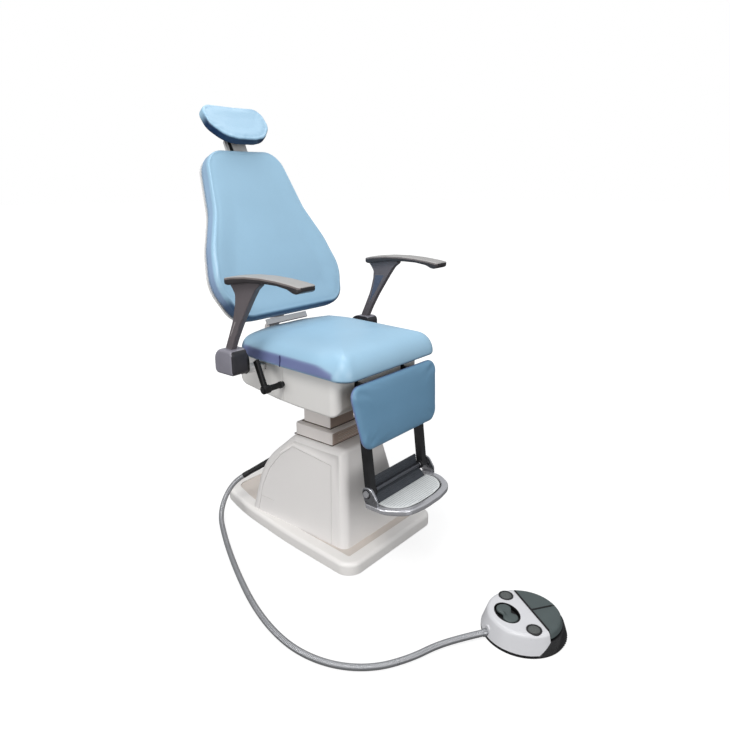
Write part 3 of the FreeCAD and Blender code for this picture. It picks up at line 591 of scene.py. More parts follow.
# painted shade: a navy band on the rounded bottom edge and the face darker towards the bottom
def back_shade(p, d):
    u, v, h = p.T
    under = smoothstep((14 - d) / 8) * smoothstep((95 - v) / 40)
    return 0.80 * under + 0.14 * smoothstep((330 - v) / 330) * smoothstep((h - 40) / 8)


back = cushion("back_pad", back_half, BACK_T, back_edge, 6, lambda u, v, h: back_place(u, v, BACK_T - h), "backrest", ["back_cushion"],
               shape=back_shape, side_shade=back_side_shade, shade=back_shade, voxel=3.3, relax=2)

# painted shade: navy on the lower sides, and the front face darkened slightly
def head_shade(p, d):
    u, v, h = p.T
    return 1.0 * smoothstep((28 - h) / 4) * smoothstep((40 - v) / 50) * smoothstep((20 - d) / 8) + 0.09 * smoothstep((h - 26) / 4)


head_place = lean(38.0, (396.0, 1373.0))
head_half = [(38, -79, 60), (88, -67, 80), (134, -17, 60), (132, 67, 58)]


def head_shape(p, d):
    u, v, h = p.T.copy()
    top = smoothstep((h - 14) / 12)
    h = h + top * (1.8 * np.exp(-((d - 6) / 5.0) ** 2) - 2.5 * smoothstep((d - 8) / 50))
    return np.stack([u, v, h], 1)


head = cushion("head_pad", head_half, 31, 5, 4, lambda u, v, h: head_place(u, v, 31 - h), "headrest", ["headrest_cushion"],
               shape=head_shape, shade=head_shade, voxel=3.0, cap=3.0, relax=2)

leg_place = lean(8.5, (-262.0, 585.0))
leg_half = [(185, -182, 46), (221, 24, 38)]


def leg_shape(p, d):
    u, v, h = p.T.copy()
    top = smoothstep((h - 8) / 8)
    h = h + top * 3.0 * smoothstep((d - 10) / 70)
    return np.stack([u, v, h], 1)


# painted shade: lavender on the lower side faces
def leg_side_shade(p, d):
    return 0.9 * smoothstep((13 - p[:, 2]) / 8) * smoothstep((9 - d) / 6)


leg = cushion("leg_pad", leg_half, 21, 11, 3, lambda u, v, h: leg_place(u, v, -12 - h), "legrest", ["legrest_cushion"], mat="vinyl_leg_shaded",
              shape=leg_shape, side_shade=leg_side_shade, voxel=3.8, cap=3.0, relax=4)

# ------------------------------------------------------------------ armrests
TOP_PTS = [(84, 901), (79, 906.5), (46, 912.5), (-15, 919), (-80, 921), (-140, 919), (-196, 914), (-228, 909.5), (-232, 909)]
BOT_PTS = [(84, 895), (76, 889), (60, 887), (42, 891), (-20, 901), (-95, 905), (-142, 904.5), (-184, 899), (-206, 890), (-219, 889), (-232, 896)]


def line(pts, ys, w=7):
    pts = sorted(pts)
    y = np.array([p[0] for p in pts], float)
    z = np.array([p[1] for p in pts], float)
    fine = np.linspace(y[0], y[-1], 600)
    zz = np.interp(fine, y, z)
    k = np.hanning(2 * w + 3)[1:-1]
    k /= k.sum()
    zz = np.convolve(np.pad(zz, w, mode="edge"), k, mode="valid")
    return np.interp(ys, fine, zz)


def arm_pad(side, sx):
    y0, y1 = -231.5, 83.5
    ends = np.array([0, 0.6, 1.8, 3.5, 6, 9, 13])
    ys = np.concatenate([y0 + ends, np.linspace(y0 + 17, y1 - 17, 70), (y1 - ends)[::-1]])
    top, bot = line(TOP_PTS, ys, 20), line(BOT_PTS, ys, 8)
    V_, F_ = [], []
    n = None
    for k, y in enumerate(ys):
        w = 33.0
        for e, rc in ((y - y0, 10.0), (y1 - y, 16.0)):
            if e < rc:
                w = min(w, 33.0 - rc + math.sqrt(max(0.0, rc * rc - (rc - e) ** 2)))
        cut_in = 0.0
        for e, rl, rh in ((y - y0, 5.0, 2.6), (y1 - y, 3.0, 2.6)):
            if e < rl:
                cut_in = max(cut_in, rh - math.sqrt(max(0.0, rl * rl - (rl - e) ** 2)) * rh / rl)
        zt, zb = top[k] - cut_in, bot[k] + cut_in
        m = (zt + zb) / 2
        g = min(1.0, (zt - zb) / 14.0)
        half = [(0.0, zt + 0.9 * g), (0.35, zt + 0.8 * g), (0.7, zt + 0.3 * g), (0.9, zt - 0.3 * g), (0.965, zt - 1.1 * g), (0.99, zt - 2.0 * g),
                (1.0, zt - 3.0 * g), (1.0, zt - 6.8 * g), (0.97, zt - 7.2 * g), (0.97, zt - 8.2 * g), (1.0, zt - 8.6 * g), (1.0, min(m, zt - 9.5 * g)),
                (0.995, zb + 3.0 * g), (0.96, zb + 0.9 * g), (0.9, zb), (0.5, zb), (0.0, zb)]
        sec = [(w * a, z) for a, z in half] + [(-w * a, z) for a, z in reversed(half[1:-1])]
        n = len(sec)
        V_ += [(sx * (323.0 + x) * MM, y * MM, z * MM) for x, z in sec]
    for k in range(len(ys) - 1):
        for i in range(n):
            j = (i + 1) % n
            F_.append((k * n + i, k * n + j, (k + 1) * n + j, (k + 1) * n + i))
    F_.append(tuple(range(n)))
    F_.append(tuple((len(ys) - 1) * n + i for i in range(n)))

    def pick(c, nrm):
        y = np.array([c[1] / MM])
        f = float(line(TOP_PTS, y, 20)[0]) - c[2] / MM
        if abs(nrm[1]) > 0.95:
            return 2
        return 0 if f < 2.2 else (1 if f < 7.0 else 2)
    o = add("arm_pad_" + side, V_, F_, ["padgrey", "armband", "charcoal"], "arm_" + side, ["armrest_pad_" + side], fmat=pick)
    sharp(o, 50)
    return o


POST = [(117, 684, 6), (95, 730, 120), (71, 783, 200), (58, 832, 80), (56, 858, 14), (68, 876, 10), (80, 888, 6), (78, 899, 5), (-54, 903, 5), (-52, 893, 5),
        (-32, 878, 30), (-13, 852, 80), (9, 819, 200), (40, 772, 200), (68, 723, 120), (87, 684, 6)]


def tri(o):
    """Split the large flat faces into triangles."""
    bm = bmesh.new(); bm.from_mesh(o.data)
    bmesh.ops.triangulate(bm, faces=[f for f in bm.faces if len(f.verts) > 4], ngon_method="EAR_CLIP")
    bm.to_mesh(o.data); bm.free()


RECESS = [(50, 846, 3), (2, 849, 3), (16, 826, 20), (45, 778, 20), (76, 734, 2), (80, 736, 2), (64, 783, 20), (53, 826, 10)]
SLIT = [(85, 727, 1), (58, 776, 2), (63, 777, 2), (87, 732, 1)]
HOUSE = [(63, 608, 12), (151, 608, 16), (151, 687, 36), (64, 687, 18)]


def arm_post(side, sx):
    poly = resample(rounded(POST, 3.0), 240)
    v, f = slab(poly, edge_rings(-11, 11, 3.0, 3.0))
    place = lambda a, b, h: (sx * (323.0 + h) * MM, a * MM, b * MM)
    o = add("arm_post_" + side, [place(*p) for p in v], f, ["grey"], "arm_" + side, ["armrest_post_" + side])
    tri(o)
    o.data.shade_smooth(); sharp(o, 40)
    # long panel on the inner face in darker blue-grey, painted shade of a recess, with a pale edge line that is a
    # painted highlight, and a short light slit outside that is a painted highlight
    for name, pts, inset_, h0, h1, mat in (("edge", RECESS, 0.0, -11.25, -9.0, "armband"), ("panel", RECESS, 2.2, -11.6, -9.0, "recess"),
                                           ("slit", SLIT, 0.0, 9.0, 11.3, "armlight")):
        q = resample(rounded(pts, 1.5), 80)
        q = ccw(q)
        q = q + normals_in(q) * inset_
        v, f = slab(q, [(0.0, h1 if h0 < 0 else h0), (0.3, h0 if h0 < 0 else h1)])
        o = add("arm_%s_%s" % (name, side), [place(*p) for p in v], f, [mat], "arm_" + side, smooth=False)
        tri(o)


def arm_house(side, sx):
    poly = resample(rounded(HOUSE, 2.0), 160)
    v, f = slab(poly, edge_rings(293.2, 352, 2.0, 9.0, 6))
    o = add("arm_housing_" + side, [(sx * h * MM, a * MM, b * MM) for a, b, h in v], f, ["housing", "house_front"], "arm_" + side,
            ["armrest_housing_" + side], fmat=lambda c, n: 1 if (n[1] < -0.6 or abs(c[0]) < 0.318) else 0)
    sharp(o, 40)
    return o


for side, sx in (("right", -1), ("left", 1)):
    arm_pad(side, sx)
    arm_post(side, sx)
    arm_house(side, sx)

# ------------------------------------------------------------------ headrest stem: dark guide in its slot
v, f = slab(resample(rounded([(-31.5, 591, 3), (-16.5, 591, 3), (-16.5, 625, 3), (-31.5, 625, 3)], 1.0), 48), edge_rings(28.0, 34.0, 1.0, 1.0, 3))
add("stem_guide", [back_place(a, b, h) for a, b, h in v], f, ["blackplastic"], "stem")

# thin black strip under the bracket plate: a painted shadow
v, f = slab(np.array([(-93.5, -18.6), (93.5, -18.6), (93.5, -17.2), (-93.5, -17.2)]), [(0.0, 58.5), (0.0, 65.5)])
add("plate_shadow_line", [back_place(a, b, h) for a, b, h in v], f, ["jet"], "backrest", smooth=False)
NODES["headrest_stem"].data.materials.clear()
NODES["headrest_stem"].data.materials.append(M["white"])

# sunk floor of the base, inside its raised border, painted a darker warm tone: painted shade in the recess round the
# pedestal
me = NODES["base_cover"].data
me.materials.append(M["base_recess_shade"])
top_z = max(v.co.z for v in me.vertices)
for poly in me.polygons:
    if poly.normal.z > 0.95 and 0.03 < poly.center.z < top_z - 0.002:
        poly.material_index = len(me.materials) - 1
me = NODES["armrest_carriers"].data
me.materials.append(M["white"])
for poly in me.polygons:
    if abs(poly.center.x) < 0.262:
        poly.material_index = len(me.materials) - 1


def frame_ring(name, a, b, w, z0, z1, mat, body):
    """Flat rectangular ring round the column: inner half sizes a (x) and b0, b1 (y), width w."""
    V_, F_ = [], []
    for z in (z0, z1):
        for e in (0.0, w):
            V_ += [(x * MM, y * MM, z * MM) for x, y in ((-a - e, b[0] - e), (a + e, b[0] - e), (a + e, b[1] + e), (-a - e, b[1] + e))]
    for i in range(4):
        j = (i + 1) % 4
        F_ += [(i, j, 4 + j, 4 + i), (8 + i, 12 + i, 12 + j, 8 + j), (4 + i, 4 + j, 12 + j, 12 + i), (i, 8 + i, 8 + j, j)]
    add(name, V_, F_, [mat], body, smooth=False)


frame_ring("column_seal", 62.2, (-62.2, 62.2), 3.4, 383.0, 386.4, "seal", "base")
frame_ring("collar_seal", 90.1, (-95.1, 77.1), 1.6, 341.8, 344.0, "seal", "base")
# front faces of column and collar take the darker brown paint: painted shade under the seat
for node in ("column_inner_tube", "column_collar"):
    me = NODES[node].data
    me.materials.append(M["column_front_shaded"])
    k = len(me.materials) - 1
    for poly in me.polygons:
        if poly.normal.y < -0.8:
            poly.material_index = k

# ------------------------------------------------------------------ lock lever: flat black arm with a hub
def beam(p0, p1, w, d, r, n=6):
    """Bar of rounded-rectangle section from p0 to p1; w lies across the bar in the upright plane, d along x."""
    p0, p1 = np.array(p0, float), np.array(p1, float)
    t = (p1 - p0) / np.linalg.norm(p1 - p0)
    a = np.array([1.0, 0, 0]) - t * t[0]
    a /= np.linalg.norm(a)
    b = np.cross(t, a)
    q = resample(rounded([(-w / 2, -d / 2, r), (w / 2, -d / 2, r), (w / 2, d / 2, r), (-w / 2, d / 2, r)], 0.8), 48)
    V_, F_ = slab(q, edge_rings(0.0, float(np.linalg.norm(p1 - p0)), 2.5, 3.0, 4))
    return [tuple((p0 + b * x + a * y + t * h) * MM) for x, y, h in V_], F_


v, f = beam((-277.0, 3.0, 557.0), (-257.0, 66.0, 640.0), 19.0, 14.0, 4.0)
o = add("lever_arm", v, f, ["jet"], "lever", ["lock_lever_arm"])
sharp(o, 40)
ang = np.linspace(0, 2 * math.pi, 48, endpoint=False)
v, f = slab(np.stack([5.0 + 13.0 * np.cos(ang), 563.0 + 13.0 * np.sin(ang)], 1), edge_rings(-288.0, -262.0, 2.0, 2.0, 4))
o = add("lever_hub", [(h * MM, a * MM, b * MM) for a, b, h in v], f, ["jet"], "lever")
sharp(o, 40)
v, f = slab(np.stack([5.0 + 9.5 * np.cos(ang), 563.0 + 9.5 * np.sin(ang)], 1), edge_rings(-264.0, -214.0, 1.0, 1.0, 3))
o = add("lever_shaft", [(h * MM, a * MM, b * MM) for a, b, h in v], f, ["jet"], "lever")
sharp(o, 40)

# ------------------------------------------------------------------ footplate
FY, FZ = -293.8, 262.0


def polyline(pts, step):
    """Open line with rounded corners (y, z[, r]) sampled evenly."""
    closed = rounded(pts + [(pts[-1][0] + 400, pts[-1][1] + 900), (pts[0][0] + 400, pts[0][1] + 900)], 0.8)
    i1 = int(np.argmin(np.linalg.norm(closed - np.array(pts[-1][:2]), axis=1)))
    q = closed[:i1 + 1]
    d = np.concatenate([[0], np.cumsum(np.linalg.norm(np.diff(q, axis=0), axis=1))])
    s = np.arange(0, d[-1], step)
    return np.stack([np.interp(s, d, q[:, i]) for i in (0, 1)], 1), s


face, fs_ = polyline([(FY + 15, FZ + 32), (FY + 9, FZ - 6, 8), (FY - 8, FZ - 18, 10), (FY - 24, FZ - 34)], 0.8)
tang = np.gradient(face, axis=0)
tang /= np.linalg.norm(tang, axis=1)[:, None]
nrm_f = np.stack([tang[:, 1], -tang[:, 0]], 1)
rib = 1.5 * np.clip(np.cos(2 * math.pi * fs_ / 6.0), 0, 1) ** 0.6
rib[(fs_ < 4) | ((fs_ > 34) & (fs_ < 41)) | (fs_ > fs_[-1] - 3)] = 0
outer = face + nrm_f * rib[:, None]
sec = np.vstack([outer, [(FY - 24, FZ - 41.5), (FY + 2, FZ - 35), (FY + 14, FZ - 26), (FY + 18, FZ - 14), (FY + 22, FZ + 30), (FY + 19, FZ + 32.5)]])
v, f = slab(sec, [(0.0, -120.6), (0.0, 120.6)])
o = add("foot_trough", [(h * MM, a * MM, b * MM) for a, b, h in v], f, ["trough"], "footplate", ["footplate_trough"])
sharp(o, 30)
# ribbed tread inside the bow, with a dark joint round it
tread = [(130.4, FY - 24), (130.4, FY - 62, 47), (97.0, FY - 104.4, 68), (35.2, FY - 114.2, 138)]
v, f = slab(resample(rounded(sym(tread), 2.0), 220), edge_rings(FZ - 41.5, FZ - 33.2, 0.5, 1.2, 3))
o = add("foot_tread", [(a * MM, b * MM, h * MM) for a, b, h in v], f, ["tread"], "footplate", ["footplate_tread"])
sharp(o, 40)
tread_out = resample(rounded(sym(tread), 2.0), 400)
# darker grey strips across the tread: painted shade of the grooves
for k, yr in enumerate(np.arange(FY - 29.0, FY - 112.0, -8.0)):
    near = tread_out[np.abs(tread_out[:, 1] - yr) < 3.5]
    if len(near) < 2:
        continue
    w = float(np.min(np.abs(near[:, 0]))) - 4.0
    if w < 12.0:
        continue
    q = resample(rounded([(-w, yr - 1.4, 1.0), (w, yr - 1.4, 1.0), (w, yr + 1.4, 1.0), (-w, yr + 1.4, 1.0)], 0.5), 64)
    v, f = slab(q, [(0.0, FZ - 34.2), (0.0, FZ - 33.0), (0.2, FZ - 32.8)])
    add("tread_groove_%d" % k, [(a * MM, b * MM, h * MM) for a, b, h in v], f, ["groove"], "footplate", smooth=False)
joint = [(133.2, FY - 24), (133.2, FY - 62, 50), (99.0, FY - 107, 70), (36, FY - 117, 140)]
v, f = slab(resample(rounded(sym(joint), 2.0), 220), [(0.0, FZ - 42.0), (0.0, FZ - 35.4)])
add("foot_joint", [(a * MM, b * MM, h * MM) for a, b, h in v], f, ["blackplastic"], "footplate", smooth=False)
NODES["footplate_axle"].data.materials.clear()
NODES["footplate_axle"].data.materials.append(M["darksteel"])


def ring_x(name, x0, x1, r0, r1, mat, body):
    """Flat ring (or disc when r0 is 0) about the footplate axis."""
    n = 48
    V_, F_ = [], []
    prof = [(max(r0, 0.05), x0), (max(r0, 0.05), x1), (r1 - 0.6, x1), (r1, x1 - 0.6 * np.sign(x1 - x0)), (r1, x0)]
    for k in range(n):
        a = 2 * math.pi * k / n
        V_ += [(x * MM, (FY + r * math.cos(a)) * MM, (FZ + r * math.sin(a)) * MM) for r, x in prof]
    m = len(prof)
    for k in range(n):
        for i in range(m):
            F_.append((k * m + i, k * m + (i + 1) % m, ((k + 1) % n) * m + (i + 1) % m, ((k + 1) % n) * m + i))
    o = add(name, V_, F_, [mat], body)
    sharp(o, 45)


ring_x("bolt_ring_right", -156.5, -158.0, 11.5, 15.0, "blackplastic", "footplate")
ring_x("bolt_ring_left", 156.5, 158.0, 11.5, 15.0, "blackplastic", "footplate")
ring_x("pivot_disc_left", 123.8, 121.3, 0.0, 15.0, "blackplastic", "footplate")
ring_x("pivot_disc_right", -123.8, -121.3, 0.0, 15.0, "blackplastic", "footplate")
ring_x("pivot_bolt_left", 121.5, 117.6, 0.0, 7.5, "steel", "footplate")
ring_x("pivot_bolt_right", -121.5, -117.6, 0.0, 7.5, "steel", "footplate")

# ------------------------------------------------------------------ foot control
FCX, FCY = -95.0, -790.0
e1 = np.array([-0.556, -0.831]); e1 /= np.linalg.norm(e1)
e2 = np.array([0.831, -0.556]); e2 /= np.linalg.norm(e2)
DIV = 18.0


def fc(p, q, z):
    return ((FCX + e1[0] * p + e2[0] * q) * MM, (FCY + e1[1] * p + e2[1] * q) * MM, z * MM)


RK = (-7.0, -47.0)
ang = np.linspace(0, 2 * math.pi, 120, endpoint=False)
well = np.stack([RK[0] + 42.6 * np.cos(ang), RK[1] + 30.6 * np.sin(ang)], 1)
v, f = slab(well, [(0.0, 43.0), (0.0, 45.0)])
add("rocker_well", [fc(*p) for p in v], f, ["blackplastic"], "base", smooth=False)
V_, F_ = [], []
prof = [(42.9, 43.5), (41.8, 43.5), (41.8, 56.4), (42.4, 57.2), (43.6, 57.2), (43.6, 43.5)]
for a in ang:
    V_ += [fc(RK[0] + r * math.cos(a), RK[1] + (r - 12.0) * math.sin(a), z) for r, z in prof]
for k in range(len(ang)):
    for i in range(6):
        F_.append((k * 6 + i, k * 6 + (i + 1) % 6, ((k + 1) % len(ang)) * 6 + (i + 1) % 6, ((k + 1) % len(ang)) * 6 + i))
o = add("well_lining", V_, F_, ["jet"], "base")
sharp(o, 45)
cx = np.sign(np.cos(ang)) * np.abs(np.cos(ang)) ** 0.75 * 37.0
wy = 22.5 - 9.5 * np.exp(-(cx / 12.0) ** 2)
cy = np.sign(np.sin(ang)) * np.abs(np.sin(ang)) ** 0.8 * wy
bow = np.stack([RK[0] + cx, RK[1] + cy], 1)
v, f = slab(bow, edge_rings(51.0, 58.0, 0.8, 3.0, 4) + [(9.0, 58.6), (14.0, 58.2)])
v = [(a, b, h - (2.6 * math.exp(-((a - RK[0]) / 9.0) ** 2) if h > 54 else 0.0)) for a, b, h in v]
o = add("rocker", [fc(*p) for p in v], f, ["cdark"], "rocker", ["rocker_pad"])
sharp(o, 45)
for name, (px, py) in (("rear", (-73.0, -14.0)), ("front", (73.0, -14.0))):
    V_, F_ = [], []
    prof = [(16.3, 47.0), (16.3, 58.6), (17.0, 59.2), (19.4, 59.2), (20.3, 58.4), (20.4, 47.0)]
    n = 48
    for k in range(n):
        a = 2 * math.pi * k / n
        V_ += [fc(px + r * math.cos(a), py + r * math.sin(a), z) for r, z in prof]
    m = len(prof)
    for k in range(n):
        for i in range(m):
            F_.append((k * m + i, k * m + (i + 1) % m, ((k + 1) % n) * m + (i + 1) % m, ((k + 1) % n) * m + i))
    o = add("button_ring_" + name, V_, F_, ["blackplastic"], "base")
    sharp(o, 50)
    NODES["round_button_" + name].data.materials.clear()
    NODES["round_button_" + name].data.materials.append(M["cbtn"])

# dark filler below the gaps between shell and pedals, and dark strips along the gap lines: painted shade in the gaps
for name, x0, x1, y0, y1, z1 in (("divide", -86.0, 86.0, DIV + 0.2, DIV + 1.2, 56.3), ("split", -1.7, 1.7, DIV + 3.0, 90.0, 54.6)):
    v, f = slab(np.array([(x0, y0), (x1, y0), (x1, y1), (x0, y1)]), [(0.0, 38.0), (0.0, z1)])
    add("pedal_" + name, [fc(*p) for p in v], f, ["jet"], "base", smooth=False)
for name, x0, x1, y0, y1, z0, z1 in (("divide", -85.0, 85.0, DIV + 0.1, DIV + 4.6, 56.25, 59.2), ("split", -2.6, 2.6, DIV + 4.6, 85.0, 56.2, 57.0)):
    v, f = slab(np.array([(x0, y0), (x1, y0), (x1, y1), (x0, y1)]), [(0.0, z0), (0.0, z1 - 0.3), (0.3, z1)])
    add("pedal_strip_" + name, [fc(*p) for p in v], f, ["jet"], "base", smooth=False)

# ribbed black grip round the pedal side
def rr(z):
    return 112.0 - 16.0 * (z - 8) / 49.0


zs = [5.0, 11.0, 17.0, 23.0, 29.0, 35.0]
cols = 181
V_, F_ = [], []
for k in range(cols):
    for z in zs:
        a0 = math.asin((DIV + 1.0) / rr(z)) - 0.36 * (1 - (z - 5.0) / 30.0) ** 1.1
        a = a0 + (math.pi - 2 * a0) * k / (cols - 1)
        out = 0.8 + 0.9 * (k % 4 in (1, 2)) + 0.4 * math.sin(k * 1.7 + z)
        V_ += [fc((rr(z) + out) * math.cos(a), (rr(z) + out) * math.sin(a), z), fc((rr(z) - 1.0) * math.cos(a), (rr(z) - 1.0) * math.sin(a), z)]
m = 2 * len(zs)
for k in range(cols - 1):
    for i in range(len(zs) - 1):
        a, b = k * m + 2 * i, (k + 1) * m + 2 * i
        F_ += [(a, b, b + 2, a + 2), (a + 1, a + 3, b + 3, b + 1)]
    a, b = k * m, (k + 1) * m
    F_ += [(a, a + 1, b + 1, b), (a + m - 2, b + m - 2, b + m - 1, a + m - 1)]
for k in (0, cols - 1):
    for i in range(len(zs) - 1):
        a = k * m + 2 * i
        F_.append((a, a + 2, a + 3, a + 1))
o = add("grip", V_, F_, ["grip"], "base")
sharp(o, 35)

# ------------------------------------------------------------------ hose
ROUTE = [(-147.5, 264.7, 158.4), (-175.0, 293.1, 135.9), (-204.3, 313.4, 96.0), (-238.9, 308.4, 55.4), (-272.9, 279.3, 24.5),
         (-309.5, 219.6, 10.5), (-370.0, 116.0, 9.2), (-440.0, -18.0, 9.2), (-505.0, -160.0, 9.2), (-545.0, -290.0, 9.2),
         (-555.0, -400.0, 9.2), (-530.0, -500.0, 9.2), (-472.0, -578.0, 9.2), (-388.0, -626.0, 9.2), (-305.0, -652.0, 9.4),
         (-237.1, -693.1, 12.5), (-192.5, -723.5, 14.0)]


def nurbs_points(pts, res=24):
    cu = bpy.data.curves.new("route", "CURVE")
    cu.dimensions = "3D"
    sp = cu.splines.new("NURBS")
    sp.points.add(len(pts) - 1)
    for q, p in zip(sp.points, pts):
        q.co = (p[0] * MM, p[1] * MM, p[2] * MM, 1)
    sp.order_u = 3
    sp.use_endpoint_u = True
    sp.resolution_u = res
    o = bpy.data.objects.new("route", cu)
    COLL.objects.link(o)
    bpy.context.view_layer.update()
    me = bpy.data.meshes.new_from_object(o.evaluated_get(bpy.context.evaluated_depsgraph_get()))
    out = np.array([v.co for v in me.vertices])
    bpy.data.objects.remove(o)
    return out


def along(path, s):
    d = np.concatenate([[0], np.cumsum(np.linalg.norm(np.diff(path, axis=0), axis=1))])
    return np.stack([np.interp(s, d, path[:, i]) for i in range(3)], 1), d[-1]


def tube(path, stations, radii, n=20):
    """Tube with the given radius at each arc-length station."""
    p, total = along(path, stations)
    e = 0.002
    a, _ = along(path, np.clip(stations - e, 0, None))
    b, _ = along(path, np.minimum(stations + e, total))
    t = b - a
    t /= np.linalg.norm(t, axis=1)[:, None]
    ref = np.array([0, 0, 1.0])
    V_, F_ = [], []
    for k in range(len(p)):
        x = np.cross(t[k], ref)
        x /= np.linalg.norm(x)
        y = np.cross(x, t[k])
        for i in range(n):
            ang = 2 * math.pi * i / n
            V_.append(p[k] + radii[k] * (math.cos(ang) * x + math.sin(ang) * y))
    for k in range(len(p) - 1):
        for i in range(n):
            j = (i + 1) % n
            F_.append((k * n + i, k * n + j, (k + 1) * n + j, (k + 1) * n + i))
    F_.append(tuple(reversed(range(n))))
    F_.append(tuple((len(p) - 1) * n + i for i in range(n)))
    return V_, F_


path = nurbs_points(ROUTE)
_, hose_len = along(path, np.array([0.0]))
pitch = 0.0050
cnt = int(hose_len / pitch)
st, ra = [], []
for k in range(cnt):
    for fr, r in ((0.0, 0.0079), (0.2, 0.0088), (0.5, 0.0090), (0.8, 0.0088)):
        st.append((k + fr) * hose_len / cnt)
        ra.append(r)
st.append(hose_len); ra.append(0.0079)
v, f = tube(path, np.array(st), np.array(ra))
hose = add("hose", v, f, ["hose"], "base", ["control_hose"])

# short collar where the hose enters the foot control
bd = np.array([-88.0, 60.0, 0.0]); bd /= np.linalg.norm(bd)
c0 = np.array([FCX, FCY, 14.0])
v, f = tube(np.stack([(c0 + bd * 96) * MM, (c0 + bd * 120) * MM]), np.array([0.0, 0.014, 0.0145, 0.0165, 0.017, 0.0235, 0.024]),
            np.array([0.0105, 0.0105, 0.0088, 0.0088, 0.0104, 0.0102, 0.0094]), 28)
o = add("collar", v, f, ["hose"], "base", ["hose_bush"])
sharp(o, 40)
c1 = np.array([FCX, FCY, 22.0])
v, f = tube(np.stack([(c1 + bd * 98) * MM, (c1 + bd * 107.6) * MM]), np.array([0.0, 0.0076, 0.0096]), np.array([0.0122, 0.0122, 0.0106]), 36)
o = add("plug", v, f, ["cwhite"], "base")
sharp(o, 40)

# ribbed, tapering sleeve where the hose leaves the pedestal
hd = np.array([-0.605, 0.625, -0.494]); hd /= np.linalg.norm(hd)
hp = np.array([-110.0, 226.0, 189.0])
sl = np.stack([(hp - hd * 58) * MM, (hp + hd * 62) * MM])
st, ra = [], []
for k in range(20):
    for fr, r in ((0.0, 0.0), (0.12, 1.0), (0.55, 1.0), (0.67, 0.0)):
        s = (k + fr) * 0.006
        st.append(s)
        ra.append((0.0114 - 0.0022 * s / 0.12) - 0.0011 * (1 - r))
st.append(0.12); ra.append(0.0088)
v, f = tube(sl, np.array(st), np.array(ra), 28)
o = add("sleeve", v, f, ["blackplastic"], "base", ["hose_sleeve"])
sharp(o, 40)
st = np.linspace(0.0, 0.022, 12)
v, f = tube(path, st, np.where(np.arange(12) % 2 == 0, 0.0093, 0.0098), 28)
o = add("sleeve_tail", v, f, ["blackplastic"], "base")
sharp(o, 40)

# ------------------------------------------------------------------ light and floor
def area(name, loc, target, size, power, color=(1, 1, 1)):
    l = bpy.data.lights.new(name, "AREA")
    l.shape = "DISK"
    l.size = size
    l.energy = power
    l.color = color
    o = bpy.data.objects.new(name, l)
    COLL.objects.link(o)
    o.location = loc
    o.rotation_euler = (Vector(target) - Vector(loc)).to_track_quat("-Z", "Y").to_euler()
    return o


area("key", (-1.9, -0.9, 3.0), (0, -0.1, 0.6), 1.5, 46, (1.0, 0.99, 0.97))
area("top", (0.5, 0.4, 3.3), (0, 0, 0.4), 2.4, 38)
area("side", (-3.2, 0.4, 1.0), (0, 0, 0.5), 1.8, 30)
area("front", (-0.7, -3.3, 1.2), (0, -0.1, 0.4), 1.8, 30)

world = bpy.data.worlds.new("studio")
bpy.context.scene.world = world
wn = nt_of(world)
wo = wn.nodes.new("ShaderNodeOutputWorld")
mixs = wn.nodes.new("ShaderNodeMixShader")
lp = wn.nodes.new("ShaderNodeLightPath")
b1 = wn.nodes.new("ShaderNodeBackground")
b1.inputs["Color"].default_value = (0.95, 0.97, 1.0, 1)
b1.inputs["Strength"].default_value = 0.46
b2 = wn.nodes.new("ShaderNodeBackground")
b2.inputs["Color"].default_value = (1, 1, 1, 1)
b2.inputs["Strength"].default_value = 1.0
wn.links.new(lp.outputs["Is Camera Ray"], mixs.inputs["Fac"])
wn.links.new(b1.outputs["Background"], mixs.inputs[1])
wn.links.new(b2.outputs["Background"], mixs.inputs[2])
wn.links.new(mixs.outputs["Shader"], wo.inputs["Surface"])

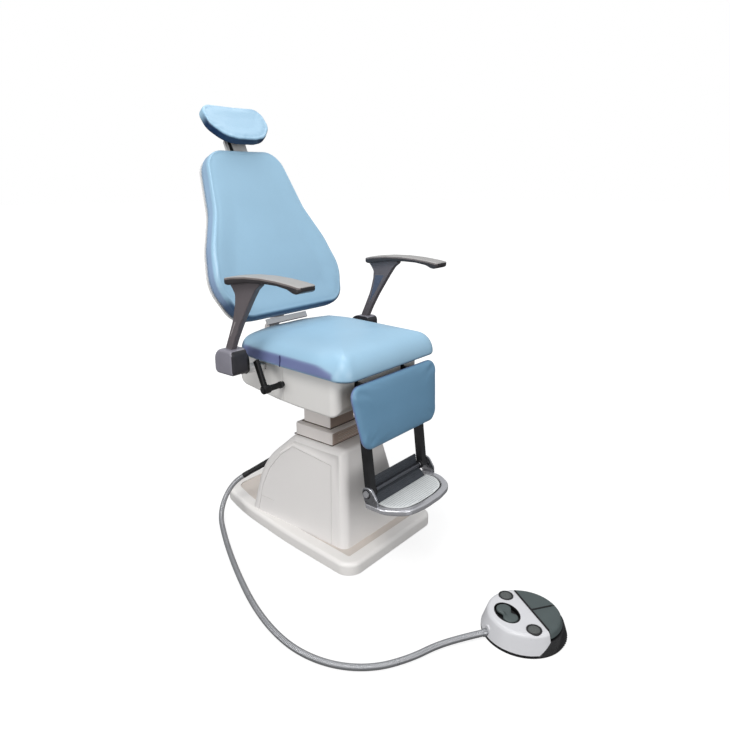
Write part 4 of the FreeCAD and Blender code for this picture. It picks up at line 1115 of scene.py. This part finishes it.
# pale floor: near white to the eye with a faint contact shade, little light thrown back up
fm = bpy.data.materials.new("floor")
fn = nt_of(fm)
fo = fn.nodes.new("ShaderNodeOutputMaterial")
fd = fn.nodes.new("ShaderNodeBsdfDiffuse")
fd.inputs["Color"].default_value = (0.26, 0.26, 0.26, 1)
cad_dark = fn.nodes.new("ShaderNodeBsdfDiffuse")
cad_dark.inputs["Color"].default_value = (0.12, 0.12, 0.12, 1)
fsel = fn.nodes.new("ShaderNodeMixShader")
fe = fn.nodes.new("ShaderNodeEmission")
fe.inputs["Color"].default_value = (1, 1, 1, 1)
fl = fn.nodes.new("ShaderNodeLightPath")
fg = fn.nodes.new("ShaderNodeNewGeometry")
flen = fn.nodes.new("ShaderNodeVectorMath")
flen.operation = "LENGTH"
fmap = fn.nodes.new("ShaderNodeMapRange")
fmap.inputs["From Min"].default_value = 0.9
fmap.inputs["From Max"].default_value = 2.4
fmap.inputs["To Min"].default_value = 0.80
fmap.inputs["To Max"].default_value = 1.0
fmul = fn.nodes.new("ShaderNodeMath")
fmul.operation = "MULTIPLY"
fadd = fn.nodes.new("ShaderNodeAddShader")
fn.links.new(fg.outputs["Position"], flen.inputs[0])
fn.links.new(flen.outputs["Value"], fmap.inputs["Value"])
fn.links.new(fmap.outputs["Result"], fmul.inputs[0])
fn.links.new(fl.outputs["Is Camera Ray"], fmul.inputs[1])
fn.links.new(fmul.outputs["Value"], fe.inputs["Strength"])
fn.links.new(fd.outputs["BSDF"], fadd.inputs[0])
fn.links.new(fe.outputs["Emission"], fadd.inputs[1])
fn.links.new(fl.outputs["Is Camera Ray"], fsel.inputs["Fac"])
fn.links.new(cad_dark.outputs["BSDF"], fsel.inputs[1])
fn.links.new(fadd.outputs["Shader"], fsel.inputs[2])
fn.links.new(fsel.outputs["Shader"], fo.inputs["Surface"])
fme = bpy.data.meshes.new("floor")
ring = [(40 * math.cos(2 * math.pi * i / 96), 40 * math.sin(2 * math.pi * i / 96), 0.0) for i in range(96)]
fme.from_pydata(ring, [], [tuple(range(96))])
fme.materials.append(fm)
floor = bpy.data.objects.new("floor", fme)
COLL.objects.link(floor)

# ------------------------------------------------------------------ end
bpy.context.view_layer.update()
